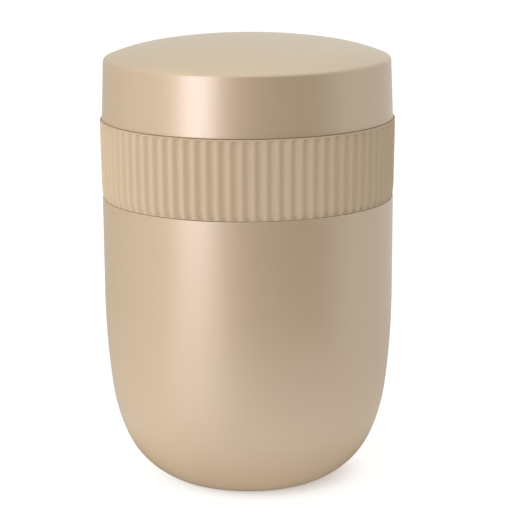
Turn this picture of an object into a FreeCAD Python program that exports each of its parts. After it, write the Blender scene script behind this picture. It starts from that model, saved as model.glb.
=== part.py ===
import FreeCAD, Part
import Sketcher
import math
import os
from types import SimpleNamespace

from FreeCAD import Placement, Rotation, Vector

# An insulated food jar: a double-walled steel jar on a soft foot, a screw stopper with a
# press vent, and a domed screw lid with a ribbed grip sleeve that doubles as a bowl.
# Millimetres, +Z up, the origin on the floor under the centre of the jar.

DRIVING_SIZES = [
    ("overall_height", 145.0, "floor to the crown of the lid"),
    ("body_seam_height", 93.3, "shoulder of the jar, under the grip sleeve"),
    ("lid_seam_height", 118.8, "step of the lid above the grip sleeve"),
    ("rim_height", 112.0, "top of the jar's mouth"),
    ("body_top_radius", 47.26, "outer wall at the shoulder"),
    ("wall_lean", 0.18, "degrees the upper wall leans in towards the floor"),
    ("wall_break_height", 62.1, "where the wall starts to curve in"),
    ("belly_round", 255.7, "radius of the first, gentle stretch of the bowl"),
    ("belly_turn", 7.05, "degrees that stretch turns"),
    ("haunch_round", 66.1, "radius of the middle stretch of the bowl"),
    ("haunch_turn", 15.47, "degrees that stretch turns"),
    ("bowl_round", 24.0, "radius of the last stretch, down to the hem"),
    ("outer_wall", 0.6, "sheet of the outer shell and the lid shell"),
    ("inner_wall", 0.5, "sheet of the inner vessel"),
    ("hem_height", 0.6, "underside of the shell above the floor"),
    ("hem_radius", 26.4, "recess in the underside that takes the foot"),
    ("hem_depth", 1.8, "height of the turned hem"),
    ("plate_sheet", 0.8, "sheet of the base plate"),
    ("dimple_radius", 6.0, "pumping dimple of the base plate"),
    ("dimple_rise", 1.5, "height of that dimple"),
    ("pump_hole_radius", 1.0, "hole the air was pumped out through"),
    ("seal_bead_radius", 4.5, "glass bead that closes that hole"),
    ("seal_bead_height", 1.1, "thickness of the glass bead"),
    ("neck_radius", 42.0, "outside of the neck"),
    ("neck_root_round", 0.8, "fillet between shoulder and neck"),
    ("bore_radius", 38.9, "inside of the neck"),
    ("cavity_radius", 43.1, "inside of the jar below the neck"),
    ("neck_flare_height", 91.0, "where the bore starts to open out"),
    ("cavity_floor", 8.5, "inside bottom of the jar"),
    ("rim_round", 0.28, "rounding of the rim"),
    ("foot_clearance", 0.3, "gap round the foot in its recess"),
    ("foot_land_radius", 16.0, "inner edge of the foot's contact ring"),
    ("foot_hollow", 0.5, "depth of the hollow inside that ring"),
    ("lid_lead", 12.0, "rise of the lid in one turn"),
    ("lid_starts", 3, "thread starts between lid and neck"),
    ("stopper_lead", 8.0, "rise of the stopper in one turn"),
    ("stopper_starts", 2, "thread starts between stopper and bore"),
    ("bead_root", 2.2, "width of a thread bead at the wall"),
    ("bead_crest", 1.0, "width of a thread bead at its crest"),
    ("bead_sunk", 0.2, "how far a bead is let into its wall"),
    ("neck_bead_height", 1.0, "height of the beads outside the neck"),
    ("liner_bead_height", 1.1, "height of the beads inside the lid"),
    ("bore_bead_height", 0.8, "height of the beads inside the neck"),
    ("neck_bead_start", 98.5, "where a bead outside the neck starts"),
    ("neck_bead_turns", 0.42, "length of that bead, in turns"),
    ("liner_bead_turns", 0.33, "length of a bead inside the lid, in turns"),
    ("liner_bead_delay", 21.0, "degrees from a neck bead's start to a liner bead's"),
    ("bore_bead_start", 103.2, "where a bead inside the neck starts"),
    ("bore_bead_turns", 0.45, "length of that bead, in turns"),
    ("plug_bead_turns", 0.4, "length of a bead on the stopper, in turns"),
    ("plug_bead_height", 0.9, "height of the beads on the stopper"),
    ("skirt_radius", 45.9, "lid shell behind the grip sleeve"),
    ("skirt_bottom", 94.0, "lower edge of the lid shell"),
    ("lid_lean", 2.12, "degrees the lid's side leans in towards its top"),
    ("lid_shoulder_radius", 46.4, "lid shell where its corner starts"),
    ("lid_shoulder_height", 136.6, "height where that corner starts"),
    ("lid_corner_round", 2.45, "radius of the lid's corner"),
    ("lid_corner_turn", 66.2, "degrees the corner turns"),
    ("lid_brow_round", 62.7, "radius between corner and dome"),
    ("lid_brow_turn", 12.0, "degrees that stretch turns"),
    ("step_round", 0.5, "rounding of the lid's lower edge"),
    ("liner_radius", 45.2, "outside of the lid liner"),
    ("liner_wall", 1.6, "wall of the lid liner"),
    ("liner_bottom", 95.1, "lower edge of the lid liner"),
    ("liner_ceiling", 136.0, "ceiling of the lid, its bowl's bottom"),
    ("liner_corner", 3.0, "inside rounding of the liner at its ceiling"),
    ("sleeve_top", 118.5, "upper edge of the grip sleeve"),
    ("sleeve_bottom", 93.65, "lower edge of the grip sleeve"),
    ("sleeve_top_radius", 47.95, "rib crests at the upper edge"),
    ("sleeve_low_radius", 47.47, "rib crests where they start to curve in"),
    ("sleeve_low_height", 98.6, "height where they start to curve in"),
    ("sleeve_edge_radius", 46.95, "rib crests at the lower edge"),
    ("sleeve_low_round", 24.0, "radius of that curve"),
    ("sleeve_edge_round", 0.35, "rounding of the sleeve's upper edge"),
    ("sleeve_rim", 0.7, "plain rim above the ribs"),
    ("sleeve_play", 0.05, "gap between the sleeve and the shell"),
    ("rib_count", 80, "ribs round the sleeve"),
    ("rib_depth", 0.55, "depth of the grooves between the ribs"),
    ("groove_width", 2.1, "width of a groove at the crests"),
    ("plug_radius", 37.6, "outside of the stopper's plug"),
    ("plug_wall", 1.8, "wall and floor of the plug"),
    ("plug_bottom", 98.0, "underside of the stopper"),
    ("flange_bottom", 113.6, "underside of the stopper's flange"),
    ("flange_radius", 40.2, "outside of the stopper's flange"),
    ("stopper_top_height", 117.8, "top of the stopper"),
    ("collar_radius", 33.0, "finger recess, outer edge"),
    ("collar_wall", 2.6, "wall round the finger recess"),
    ("recess_floor", 110.0, "floor of the finger recess"),
    ("cover_wall", 1.6, "thickness of the stopper's cover"),
    ("well_radius", 10.2, "well of the vent button"),
    ("well_floor", 106.0, "floor of that well"),
    ("well_top", 116.4, "top of the well's wall"),
    ("grip_width", 9.0, "width of the finger grips"),
    ("grip_top", 116.4, "top of the finger grips"),
    ("scallop_count", 24, "scallops round the flange"),
    ("scallop_radius", 1.6, "radius of a scallop"),
    ("scallop_depth", 0.5, "depth of a scallop"),
    ("flange_round", 0.6, "rounding of the stopper's edges"),
    ("tube_bore", 3.4, "bore of the vent tube"),
    ("tube_wall", 1.6, "wall of the vent tube"),
    ("stem_radius", 2.0, "vent stem"),
    ("stem_play", 0.05, "clearance of the stem in its guide"),
    ("stem_bottom", 94.4, "lower end of the stem"),
    ("stem_top", 115.0, "upper end of the stem"),
    ("steam_hole_radius", 0.55, "vent holes beside the stem"),
    ("steam_hole_circle", 2.75, "circle those holes lie on"),
    ("steam_hole_count", 3, "number of those holes"),
    ("button_radius", 9.9, "vent button"),
    ("button_top", 117.6, "top of the vent button"),
    ("button_wall", 1.3, "wall of the vent button"),
    ("button_crown", 1.6, "thickness of the button's crown"),
    ("button_bottom", 110.6, "lower edge of the button"),
    ("button_socket", 3.4, "socket that takes the stem"),
    ("button_socket_bottom", 112.5, "lower end of that socket"),
    ("button_round", 0.6, "rounding of the button's edge"),
    ("button_dish_radius", 6.5, "finger dish in the button"),
    ("button_dish_depth", 0.5, "depth of that dish"),
    ("plug_seal_radius", 6.6, "vent seal"),
    ("plug_seal_top", 97.7, "top of the vent seal"),
    ("plug_seal_bottom", 96.0, "underside of the vent seal"),
    ("clip_radius", 3.2, "retaining clip of the vent seal"),
    ("clip_groove_radius", 1.4, "bottom of the clip's groove"),
    ("clip_top", 95.85, "top of the clip"),
    ("clip_thickness", 0.7, "thickness of the clip"),
    ("clip_mouth", 2.2, "opening of the clip"),
    ("spring_radius", 6.1, "centre line of the vent spring"),
    ("spring_wire", 0.9, "wire of the vent spring"),
    ("spring_turns", 5.5, "turns of the vent spring"),
    ("spring_gap", 0.3, "gap between the spring and the button"),
    ("gasket_gap", 0.3, "gap above and below a gasket"),
    ("stopper_gasket_bore", 38.0, "inside of the stopper's gasket"),
    ("stopper_gasket_radius", 40.4, "outside of the stopper's gasket"),
    ("lid_gasket_bore", 43.6, "inside of the lid's gasket"),
    ("lid_gasket_radius", 45.0, "outside of the lid's gasket"),
    ("getter_radius", 4.0, "getter pellet"),
    ("getter_height", 2.0, "height of the getter pellet"),
    ("getter_reach", 10.0, "distance of the getter from the axis"),
    ("strap_sheet", 0.4, "sheet of the getter's strap"),
    ("strap_length", 16.0, "length of the getter's strap"),
    ("strap_width", 5.0, "width of the getter's strap"),
    ("foam_gap", 0.1, "gap round the foam pieces"),
]

SPRING_SAMPLES = 400


class Size:
    """A length, an angle or a count: its value, and the formula that ties it to the sheet."""

    def __init__(self, value, formula):
        self.value = value
        self.formula = formula

    @staticmethod
    def of(other):
        return other if isinstance(other, Size) else Size(other, repr(other))

    def joined(self, other, sign, value):
        return Size(value, f"({self.formula} {sign} {other.formula})")

    def __add__(self, other):
        other = Size.of(other)
        return self.joined(other, "+", self.value + other.value)

    def __sub__(self, other):
        other = Size.of(other)
        return self.joined(other, "-", self.value - other.value)

    def __mul__(self, other):
        other = Size.of(other)
        return self.joined(other, "*", self.value * other.value)

    def __truediv__(self, other):
        other = Size.of(other)
        return self.joined(other, "/", self.value / other.value)

    def __radd__(self, other):
        return Size.of(other) + self

    def __rsub__(self, other):
        return Size.of(other) - self

    def __rmul__(self, other):
        return Size.of(other) * self

    def __rtruediv__(self, other):
        return Size.of(other) / self


def sine(angle):
    return Size(math.sin(math.radians(angle.value)), f"sin({angle.formula})")


def cosine(angle):
    return Size(math.cos(math.radians(angle.value)), f"cos({angle.formula})")


def root(area):
    return Size(math.sqrt(area.value), f"sqrt({area.formula})")


document = FreeCAD.newDocument("food_jar")
sheet = document.addObject("Spreadsheet::Sheet", "Sizes")
for row, (alias, value, meaning) in enumerate(DRIVING_SIZES, start=1):
    sheet.set(f"A{row}", meaning)
    sheet.set(f"B{row}", str(value))
    sheet.setAlias(f"B{row}", alias)
document.recompute()
size = SimpleNamespace(**{alias: Size(value, f"Sizes.{alias}") for alias, value, _ in DRIVING_SIZES})

nodes = {}


def keep(name, thing):
    """Label a finished sub-part and put it on the list that is written out."""
    thing.Label = name
    nodes[name] = thing


def bind(thing, **properties):
    """Give an object's properties their values and tie them to the sheet."""
    for name, amount in properties.items():
        amount = Size.of(amount)
        setattr(thing, name, amount.value)
        thing.setExpression(name, amount.formula)


# Sketches and turned pieces


class Outline:
    """A closed outline of lines and arcs, drawn point by point in a sketch."""

    def __init__(self, across, up):
        self.points = [(Size.of(across), Size.of(up))]
        self.edges = []

    def line(self, across, up):
        self.points.append((Size.of(across), Size.of(up)))
        self.edges.append(None)
        return self

    def arc(self, across, up, radius, centre_left=True):
        """An arc of under a half circle; its centre lies to the left or right of the way."""
        self.points.append((Size.of(across), Size.of(up)))
        self.edges.append((Size.of(radius), centre_left))
        return self

    def draw(self, sketch):
        self.edges.append(None)
        count = len(self.points)
        starts = []
        ends = []
        for index, edge in enumerate(self.edges):
            first = self.flat(index)
            last = self.flat((index + 1) % count)
            if edge is None:
                sketch.addGeometry(Part.LineSegment(first, last), False)
                starts.append(1)
                ends.append(2)
                continue
            radius, centre_left = edge
            centre = arc_centre(first, last, radius.value, centre_left)
            begin, finish = (first, last) if centre_left else (last, first)
            circle = Part.Circle(centre, Vector(0, 0, 1), radius.value)
            stretch = Part.ArcOfCircle(circle, bearing(centre, begin), bearing(centre, finish))
            sketch.addGeometry(stretch, False)
            starts.append(1 if centre_left else 2)
            ends.append(2 if centre_left else 1)
        for index in range(count):
            after = (index + 1) % count
            meeting = Sketcher.Constraint("Coincident", index, ends[index], after, starts[after])
            sketch.addConstraint(meeting)
        for index, (across, up) in enumerate(self.points):
            self.hold(sketch, "DistanceX", -2, index, starts[index], across)
            self.hold(sketch, "DistanceY", -1, index, starts[index], up)
        for index, edge in enumerate(self.edges):
            if edge is not None:
                number = sketch.addConstraint(Sketcher.Constraint("Radius", index, edge[0].value))
                sketch.setExpression(f"Constraints[{number}]", edge[0].formula)

    def flat(self, index):
        """A corner point as plain numbers."""
        across, up = self.points[index]
        return Vector(across.value, up.value, 0)

    @staticmethod
    def hold(sketch, kind, axis, index, end, amount):
        """Hold the end of an edge at a distance from the origin, or on the axis itself."""
        if abs(amount.value) < 1e-9:
            sketch.addConstraint(Sketcher.Constraint("PointOnObject", index, end, axis))
            return
        number = sketch.addConstraint(Sketcher.Constraint(kind, -1, 1, index, end, amount.value))
        sketch.setExpression(f"Constraints[{number}]", amount.formula)


def arc_centre(first, last, radius, centre_left):
    """Centre of an arc of under a half circle from its two ends and its radius."""
    chord = last - first
    height = math.sqrt(max(radius ** 2 - (chord.Length / 2) ** 2, 0.0))
    left = Vector(-chord.y, chord.x, 0).normalize()
    return (first + last) * 0.5 + left * (height if centre_left else -height)


def bearing(centre, point):
    return math.atan2(point.y - centre.y, point.x - centre.x)


def origin_plane(body, role):
    return next(feature for feature in body.Origin.OriginFeatures if feature.Role == role)


def sketch_on(body, name, role, offset=None):
    sketch = body.newObject("Sketcher::SketchObject", name)
    sketch.AttachmentSupport = [(origin_plane(body, role), "")]
    sketch.MapMode = "FlatFace"
    if offset is not None:
        sketch.AttachmentOffset = offset
    return sketch


def turned(name, outline):
    """A body turned from an outline of radius and height about the vertical axis."""
    body = document.addObject("PartDesign::Body", name)
    sketch = sketch_on(body, f"{name}_outline", "XZ_Plane")
    outline.draw(sketch)
    turn = body.newObject("PartDesign::Revolution", f"{name}_turned")
    turn.Profile = sketch
    turn.ReferenceAxis = (sketch, ["V_Axis"])
    turn.Angle = 360.0
    return body


def ring(inner, outer, low, high):
    """The outline of a plain flat ring."""
    return Outline(inner, low).line(outer, low).line(outer, high).line(inner, high)


def add_thread(body, name, walls, height, lead, turns, starts, delay=0):
    """Raised beads on a wall, one for each start, as right-handed helices.

    The walls are the radii of the bead's root and crest, and the delay is the angle in
    degrees at which the first bead starts.
    """
    root_radius, crest_radius = walls
    outward = crest_radius.value > root_radius.value
    foot = root_radius - size.bead_sunk if outward else root_radius + size.bead_sunk
    delay = Size.of(delay)
    offset = Placement(Vector(), Rotation(Vector(0, 1, 0), delay.value))
    sketch = sketch_on(body, f"{name}_section", "XZ_Plane", offset)
    sketch.setExpression("AttachmentOffset.Rotation.Angle", delay.formula)
    section = Outline(foot, height - size.bead_root / 2)
    section.line(crest_radius, height - size.bead_crest / 2)
    section.line(crest_radius, height + size.bead_crest / 2)
    section.line(foot, height + size.bead_root / 2)
    section.draw(sketch)
    bead = body.newObject("PartDesign::AdditiveHelix", f"{name}_bead")
    bead.Profile = sketch
    bead.ReferenceAxis = (sketch, ["V_Axis"])
    bead.Mode = "pitch-turns-angle"
    bind(bead, Pitch=lead, Turns=turns)
    repeat_round(body, f"{name}_beads", bead, (sketch, ["V_Axis"]), starts)


def repeat_round(body, name, feature, axis, count):
    """Repeat a feature of a body evenly round the vertical axis."""
    document.recompute()
    pattern = body.newObject("PartDesign::PolarPattern", name)
    pattern.Originals = [feature]
    pattern.Axis = axis
    pattern.Angle = 360.0
    bind(pattern, Occurrences=count)
    body.Tip = pattern


def pocket_down(body, name, outline, top, depth):
    """Cut an outline on a level plane down into a body."""
    offset = Placement(Vector(0, 0, top.value), Rotation())
    sketch = sketch_on(body, f"{name}_outline", "XY_Plane", offset)
    sketch.setExpression("AttachmentOffset.Base.z", top.formula)
    outline(sketch)
    pocket = body.newObject("PartDesign::Pocket", name)
    pocket.Profile = sketch
    bind(pocket, Length=depth)
    return pocket, sketch


def circle_at(across, radius):
    """A drawing step: one circle on the sketch's horizontal axis."""
    def draw(sketch):
        sketch.addGeometry(Part.Circle(Vector(across.value, 0, 0), Vector(0, 0, 1), radius.value), False)
        sketch.addConstraint(Sketcher.Constraint("PointOnObject", 0, 3, -1))
        place = sketch.addConstraint(Sketcher.Constraint("DistanceX", -1, 1, 0, 3, across.value))
        sketch.setExpression(f"Constraints[{place}]", across.formula)
        width = sketch.addConstraint(Sketcher.Constraint("Radius", 0, radius.value))
        sketch.setExpression(f"Constraints[{width}]", radius.formula)
    return draw


# The jar's wall: a nearly straight top, then three arcs that meet smoothly


def wall_points(inset):
    """Corner points of the wall's outline, the inset inside its outer surface."""
    lean = size.wall_lean
    belly = lean + size.belly_turn
    haunch = belly + size.haunch_turn
    drop = size.body_seam_height - size.wall_break_height
    break_radius = size.body_top_radius - drop * sine(lean) / cosine(lean)
    belly_across = break_radius - size.belly_round * cosine(lean)
    belly_up = size.wall_break_height + size.belly_round * sine(lean)
    haunch_across = belly_across + (size.belly_round - size.haunch_round) * cosine(belly)
    haunch_up = belly_up - (size.belly_round - size.haunch_round) * sine(belly)
    bowl_across = haunch_across + (size.haunch_round - size.bowl_round) * cosine(haunch)
    bowl_up = haunch_up - (size.haunch_round - size.bowl_round) * sine(haunch)

    def on_arc(across, up, radius, angle):
        return across + (radius - inset) * cosine(angle), up - (radius - inset) * sine(angle)

    return SimpleNamespace(
        upper=on_arc(belly_across, belly_up, size.belly_round, lean),
        lower=on_arc(belly_across, belly_up, size.belly_round, belly),
        foot=on_arc(haunch_across, haunch_up, size.haunch_round, haunch),
        bowl_centre=(bowl_across, bowl_up),
    )


def bowl_radius_at(height, inset):
    """Radius of the bowl's last arc at a height above the floor."""
    across, up = wall_points(inset).bowl_centre
    reach = size.bowl_round - inset
    return across + root(reach * reach - (up - height) * (up - height))


def make_outer_shell():
    """The painted wall, from the hem under the bowl to the top of the threaded neck."""
    wall = size.outer_wall
    outside = wall_points(Size.of(0.0))
    inside = wall_points(wall)
    hem_top = size.hem_height + size.hem_depth
    shoulder = size.body_seam_height
    neck_top = size.rim_height - wall
    root_round = size.neck_root_round
    outline = Outline(bowl_radius_at(size.hem_height, Size.of(0.0)), size.hem_height)
    outline.arc(*outside.foot, size.bowl_round)
    outline.arc(*outside.lower, size.haunch_round)
    outline.arc(*outside.upper, size.belly_round)
    outline.line(size.body_top_radius, shoulder - wall)
    outline.arc(size.body_top_radius - wall, shoulder, wall)
    outline.line(size.neck_radius + root_round, shoulder)
    outline.arc(size.neck_radius, shoulder + root_round, root_round, centre_left=False)
    outline.line(size.neck_radius, neck_top)
    outline.line(size.neck_radius - wall, neck_top)
    outline.line(size.neck_radius - wall, shoulder + root_round)
    outline.arc(size.neck_radius + root_round, shoulder - wall, root_round + wall)
    outline.line(size.body_top_radius - wall, shoulder - wall)
    outline.line(*inside.upper)
    outline.arc(*inside.lower, size.belly_round - wall, centre_left=False)
    outline.arc(*inside.foot, size.haunch_round - wall, centre_left=False)
    outline.arc(bowl_radius_at(hem_top, wall), hem_top, size.bowl_round - wall, centre_left=False)
    outline.line(size.hem_radius, hem_top)
    outline.line(size.hem_radius, size.hem_height)
    body = turned("outer_shell", outline)
    crest = size.neck_radius + size.neck_bead_height
    start = size.neck_bead_start
    turns = size.neck_bead_turns
    add_thread(body, "neck", (size.neck_radius, crest), start, size.lid_lead, turns, size.lid_starts)
    keep("outer_shell", body)


def vessel_points(inset):
    """Corner points of the inner vessel: the wall's upper arc, then one corner to a flat floor."""
    wall = wall_points(inset)
    belly = size.wall_lean + size.belly_turn
    floor = size.cavity_floor + size.cavity_radius + inset - size.body_top_radius
    corner = (wall.lower[1] - floor) / (1 - sine(belly))
    return SimpleNamespace(
        upper=wall.upper,
        lower=wall.lower,
        corner=corner,
        floor=(wall.lower[0] - corner * cosine(belly), floor),
    )


def make_inner_vessel():
    """The vessel that holds the food: bottom, wall, narrower bore, and the rim over the neck."""
    wall = size.inner_wall
    gap = size.body_top_radius - size.cavity_radius
    inner = vessel_points(gap)
    outer = vessel_points(gap - wall)
    half_turn = Size.of(45)
    flare = (size.cavity_radius - size.bore_radius) / (2 * (1 - cosine(half_turn)))
    middle = (size.bore_radius + size.cavity_radius) / 2
    flare_middle = size.neck_flare_height - flare * sine(half_turn)
    flare_bottom = size.neck_flare_height - 2 * flare * sine(half_turn)
    skew = wall * sine(half_turn)
    lip = size.rim_height - size.outer_wall
    edge = size.rim_round
    outline = Outline(0, size.cavity_floor - wall)
    outline.line(0, size.cavity_floor)
    outline.line(*inner.floor)
    outline.arc(*inner.lower, inner.corner)
    outline.arc(*inner.upper, size.belly_round - gap)
    outline.line(size.cavity_radius, flare_bottom)
    outline.arc(middle, flare_middle, flare)
    outline.arc(size.bore_radius, size.neck_flare_height, flare, centre_left=False)
    outline.line(size.bore_radius, size.rim_height - edge)
    outline.arc(size.bore_radius + edge, size.rim_height, edge, centre_left=False)
    outline.line(size.neck_radius - edge, size.rim_height)
    outline.arc(size.neck_radius, size.rim_height - edge, edge, centre_left=False)
    outline.line(size.neck_radius, lip)
    outline.line(size.bore_radius + wall, lip)
    outline.line(size.bore_radius + wall, size.neck_flare_height)
    outline.arc(middle + skew, flare_middle + skew, flare - wall)
    outline.arc(size.cavity_radius + wall, flare_bottom, flare + wall, centre_left=False)
    outline.line(*outer.upper)
    outline.arc(*outer.lower, size.belly_round - gap + wall, centre_left=False)
    outline.arc(*outer.floor, outer.corner, centre_left=False)
    body = turned("inner_vessel", outline)
    walls = (size.bore_radius, size.bore_radius - size.bore_bead_height)
    start = size.bore_bead_start
    turns = size.bore_bead_turns
    add_thread(body, "bore", walls, start, size.stopper_lead, turns, size.stopper_starts)
    keep("inner_vessel", body)


# What closes and carries the jar underneath


def make_base_plate():
    low = size.hem_height + size.hem_depth
    sheet_top = low + size.plate_sheet
    edge = bowl_radius_at(low, size.outer_wall) - size.foam_gap
    dimple = low + size.dimple_rise
    outline = Outline(size.pump_hole_radius, dimple)
    outline.line(size.dimple_radius, dimple)
    outline.line(size.dimple_radius, low)
    outline.line(edge, low)
    outline.line(edge, sheet_top)
    outline.line(size.dimple_radius + size.plate_sheet, sheet_top)
    outline.line(size.dimple_radius + size.plate_sheet, dimple + size.plate_sheet)
    outline.line(size.pump_hole_radius, dimple + size.plate_sheet)
    keep("base_plate", turned("base_plate", outline))


def make_vacuum_seal():
    top = size.hem_height + size.hem_depth + size.dimple_rise
    sag = size.seal_bead_height
    reach = size.seal_bead_radius
    outline = Outline(0, top - sag)
    outline.arc(reach, top, (reach * reach + sag * sag) / (2 * sag))
    outline.line(0, top)
    keep("vacuum_seal", turned("vacuum_seal", outline))


def make_foot_pad():
    top = size.hem_height + size.hem_depth
    edge = size.hem_radius - size.foot_clearance
    outline = Outline(0, size.foot_hollow)
    outline.line(size.foot_land_radius, size.foot_hollow)
    outline.line(size.foot_land_radius + size.foot_hollow, 0)
    outline.line(edge - size.foot_hollow, 0)
    outline.arc(edge, size.foot_hollow, size.foot_hollow)
    outline.line(edge, top)
    outline.line(0, top)
    keep("foot_pad", turned("foot_pad", outline))


def make_getter():
    strap_low = size.cavity_floor - size.inner_wall - size.strap_sheet
    pellet = document.addObject("Part::Cylinder", "getter")
    bind(pellet, Radius=size.getter_radius, Height=size.getter_height)
    place(pellet, size.getter_reach, 0, strap_low - size.getter_height)
    keep("getter", pellet)
    strap = document.addObject("Part::Box", "getter_strap")
    bind(strap, Length=size.strap_length, Width=size.strap_width, Height=size.strap_sheet)
    place(strap, size.getter_reach - size.strap_length / 2, 0 - size.strap_width / 2, strap_low)
    keep("getter_strap", strap)


def place(thing, across, back, up):
    """Move an object to a point that follows the sheet."""
    for axis, amount in zip("xyz", (across, back, up)):
        thing.setExpression(f"Placement.Base.{axis}", Size.of(amount).formula)


# The lid: a domed shell over a moulded bowl, with a ribbed grip sleeve


def lid_points(inset):
    """Corner points of the lid's outline, the inset inside its outer surface."""
    lean = size.lid_lean
    corner = lean + size.lid_corner_turn
    brow = corner + size.lid_brow_turn
    across = size.lid_shoulder_radius - size.lid_corner_round * cosine(lean)
    up = size.lid_shoulder_height - size.lid_corner_round * sine(lean)
    brow_across = across + (size.lid_corner_round - size.lid_brow_round) * cosine(corner)
    brow_up = up + (size.lid_corner_round - size.lid_brow_round) * sine(corner)
    corner_reach = size.lid_corner_round - inset
    brow_reach = size.lid_brow_round - inset
    dome_edge = (brow_across + brow_reach * cosine(brow), brow_up + brow_reach * sine(brow))
    crown = size.overall_height - inset
    rise = crown - dome_edge[1]
    return SimpleNamespace(
        side=(across + corner_reach * cosine(lean), up + corner_reach * sine(lean)),
        corner=(across + corner_reach * cosine(corner), up + corner_reach * sine(corner)),
        corner_round=corner_reach,
        brow_round=brow_reach,
        dome_edge=dome_edge,
        dome_round=(dome_edge[0] * dome_edge[0] + rise * rise) / (2 * rise),
        crown=crown,
    )


def lid_radius_at(height, inset):
    """Radius of the lid's leaning side at a height."""
    slope = sine(size.lid_lean) / cosine(size.lid_lean)
    return size.lid_shoulder_radius - inset + (size.lid_shoulder_height - height) * slope


def make_lid_shell():
    wall = size.outer_wall
    outside = lid_points(Size.of(0.0))
    inside = lid_points(wall)
    step = size.lid_seam_height
    above = step + size.step_round
    outline = Outline(size.skirt_radius, size.skirt_bottom)
    outline.line(size.skirt_radius, step)
    outline.line(lid_radius_at(above, Size.of(0.0)) - size.step_round, step)
    outline.arc(lid_radius_at(above, Size.of(0.0)), above, size.step_round)
    outline.line(*outside.side)
    outline.arc(*outside.corner, outside.corner_round)
    outline.arc(*outside.dome_edge, outside.brow_round)
    outline.arc(0, outside.crown, outside.dome_round)
    outline.line(0, inside.crown)
    outline.arc(*inside.dome_edge, inside.dome_round, centre_left=False)
    outline.arc(*inside.corner, inside.brow_round, centre_left=False)
    outline.arc(*inside.side, inside.corner_round, centre_left=False)
    outline.line(lid_radius_at(step + wall, wall), step + wall)
    outline.line(size.skirt_radius - wall, step + wall)
    outline.line(size.skirt_radius - wall, size.skirt_bottom)
    keep("lid_shell", turned("lid_shell", outline))


def make_lid_liner():
    inside = size.liner_radius - size.liner_wall
    top = size.liner_ceiling + size.liner_wall
    outer_corner = size.liner_corner + size.liner_wall
    outline = Outline(inside, size.liner_bottom)
    outline.line(size.liner_radius, size.liner_bottom)
    outline.line(size.liner_radius, top - outer_corner)
    outline.arc(size.liner_radius - outer_corner, top, outer_corner)
    outline.line(0, top)
    outline.line(0, size.liner_ceiling)
    outline.line(inside - size.liner_corner, size.liner_ceiling)
    outline.arc(inside, size.liner_ceiling - size.liner_corner, size.liner_corner, centre_left=False)
    body = turned("lid_liner", outline)
    crest = inside - size.liner_bead_height
    half_space = size.lid_lead / size.lid_starts / 2
    start = size.neck_bead_start - half_space + size.lid_lead * size.liner_bead_delay / 360
    turns = size.liner_bead_turns
    delay = size.liner_bead_delay
    add_thread(body, "liner", (inside, crest), start, size.lid_lead, turns, size.lid_starts, delay)
    keep("lid_liner", body)


def make_lid_foam():
    inside = lid_points(size.outer_wall + size.foam_gap)
    low = size.liner_ceiling + size.liner_wall + size.foam_gap
    outline = Outline(0, low)
    outline.line(inside.dome_edge[0], low)
    outline.line(*inside.dome_edge)
    outline.arc(0, inside.crown, inside.dome_round)
    keep("lid_foam", turned("lid_foam", outline))


def make_ribbed_sleeve():
    """The grip sleeve, its grooves cut by a round bar that follows the crests down."""
    edge = size.sleeve_edge_round
    bore = size.skirt_radius + size.sleeve_play
    outline = Outline(bore, size.sleeve_bottom)
    outline.line(size.sleeve_edge_radius, size.sleeve_bottom)
    outline.arc(size.sleeve_low_radius, size.sleeve_low_height, size.sleeve_low_round)
    outline.line(size.sleeve_top_radius, size.sleeve_top - edge)
    outline.arc(size.sleeve_top_radius - edge, size.sleeve_top, edge)
    outline.line(bore, size.sleeve_top)
    body = turned("ribbed_sleeve", outline)
    depth = size.rib_depth
    half = size.groove_width / 2
    round_radius = (half * half + depth * depth) / (2 * depth)
    outward = round_radius - depth
    top = size.sleeve_top - size.sleeve_rim
    run_out = size.sleeve_low_height - size.sleeve_bottom
    path = sketch_on(body, "groove_path", "XZ_Plane")
    points = [
        (size.sleeve_top_radius + outward, top),
        (size.sleeve_low_radius + outward, size.sleeve_low_height),
        (size.sleeve_edge_radius + outward, size.sleeve_bottom),
        (size.sleeve_edge_radius + outward - depth, size.sleeve_bottom - run_out),
    ]
    draw_path(path, points)
    offset = Placement(Vector(0, 0, top.value), Rotation())
    section = sketch_on(body, "groove_section", "XY_Plane", offset)
    section.setExpression("AttachmentOffset.Base.z", top.formula)
    circle_at(size.sleeve_top_radius + outward, round_radius)(section)
    groove = body.newObject("PartDesign::SubtractivePipe", "groove")
    groove.Profile = section
    groove.Spine = (path, [f"Edge{number}" for number in range(1, len(points))])
    groove.Transition = "Right corner"
    repeat_round(body, "grooves", groove, (path, ["V_Axis"]), size.rib_count)
    keep("ribbed_sleeve", body)


def draw_path(sketch, points):
    """An open run of straight stretches through points that follow the sheet."""
    flat = [Vector(across.value, up.value, 0) for across, up in points]
    for first, last in zip(flat, flat[1:]):
        sketch.addGeometry(Part.LineSegment(first, last), False)
    for index in range(len(points) - 2):
        sketch.addConstraint(Sketcher.Constraint("Coincident", index, 2, index + 1, 1))
    for index, (across, up) in enumerate(points):
        line, end = (index, 1) if index < len(points) - 1 else (index - 1, 2)
        Outline.hold(sketch, "DistanceX", -2, line, end, across)
        Outline.hold(sketch, "DistanceY", -1, line, end, up)


# The stopper: a foam-filled plug under a cover with a finger recess


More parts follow.
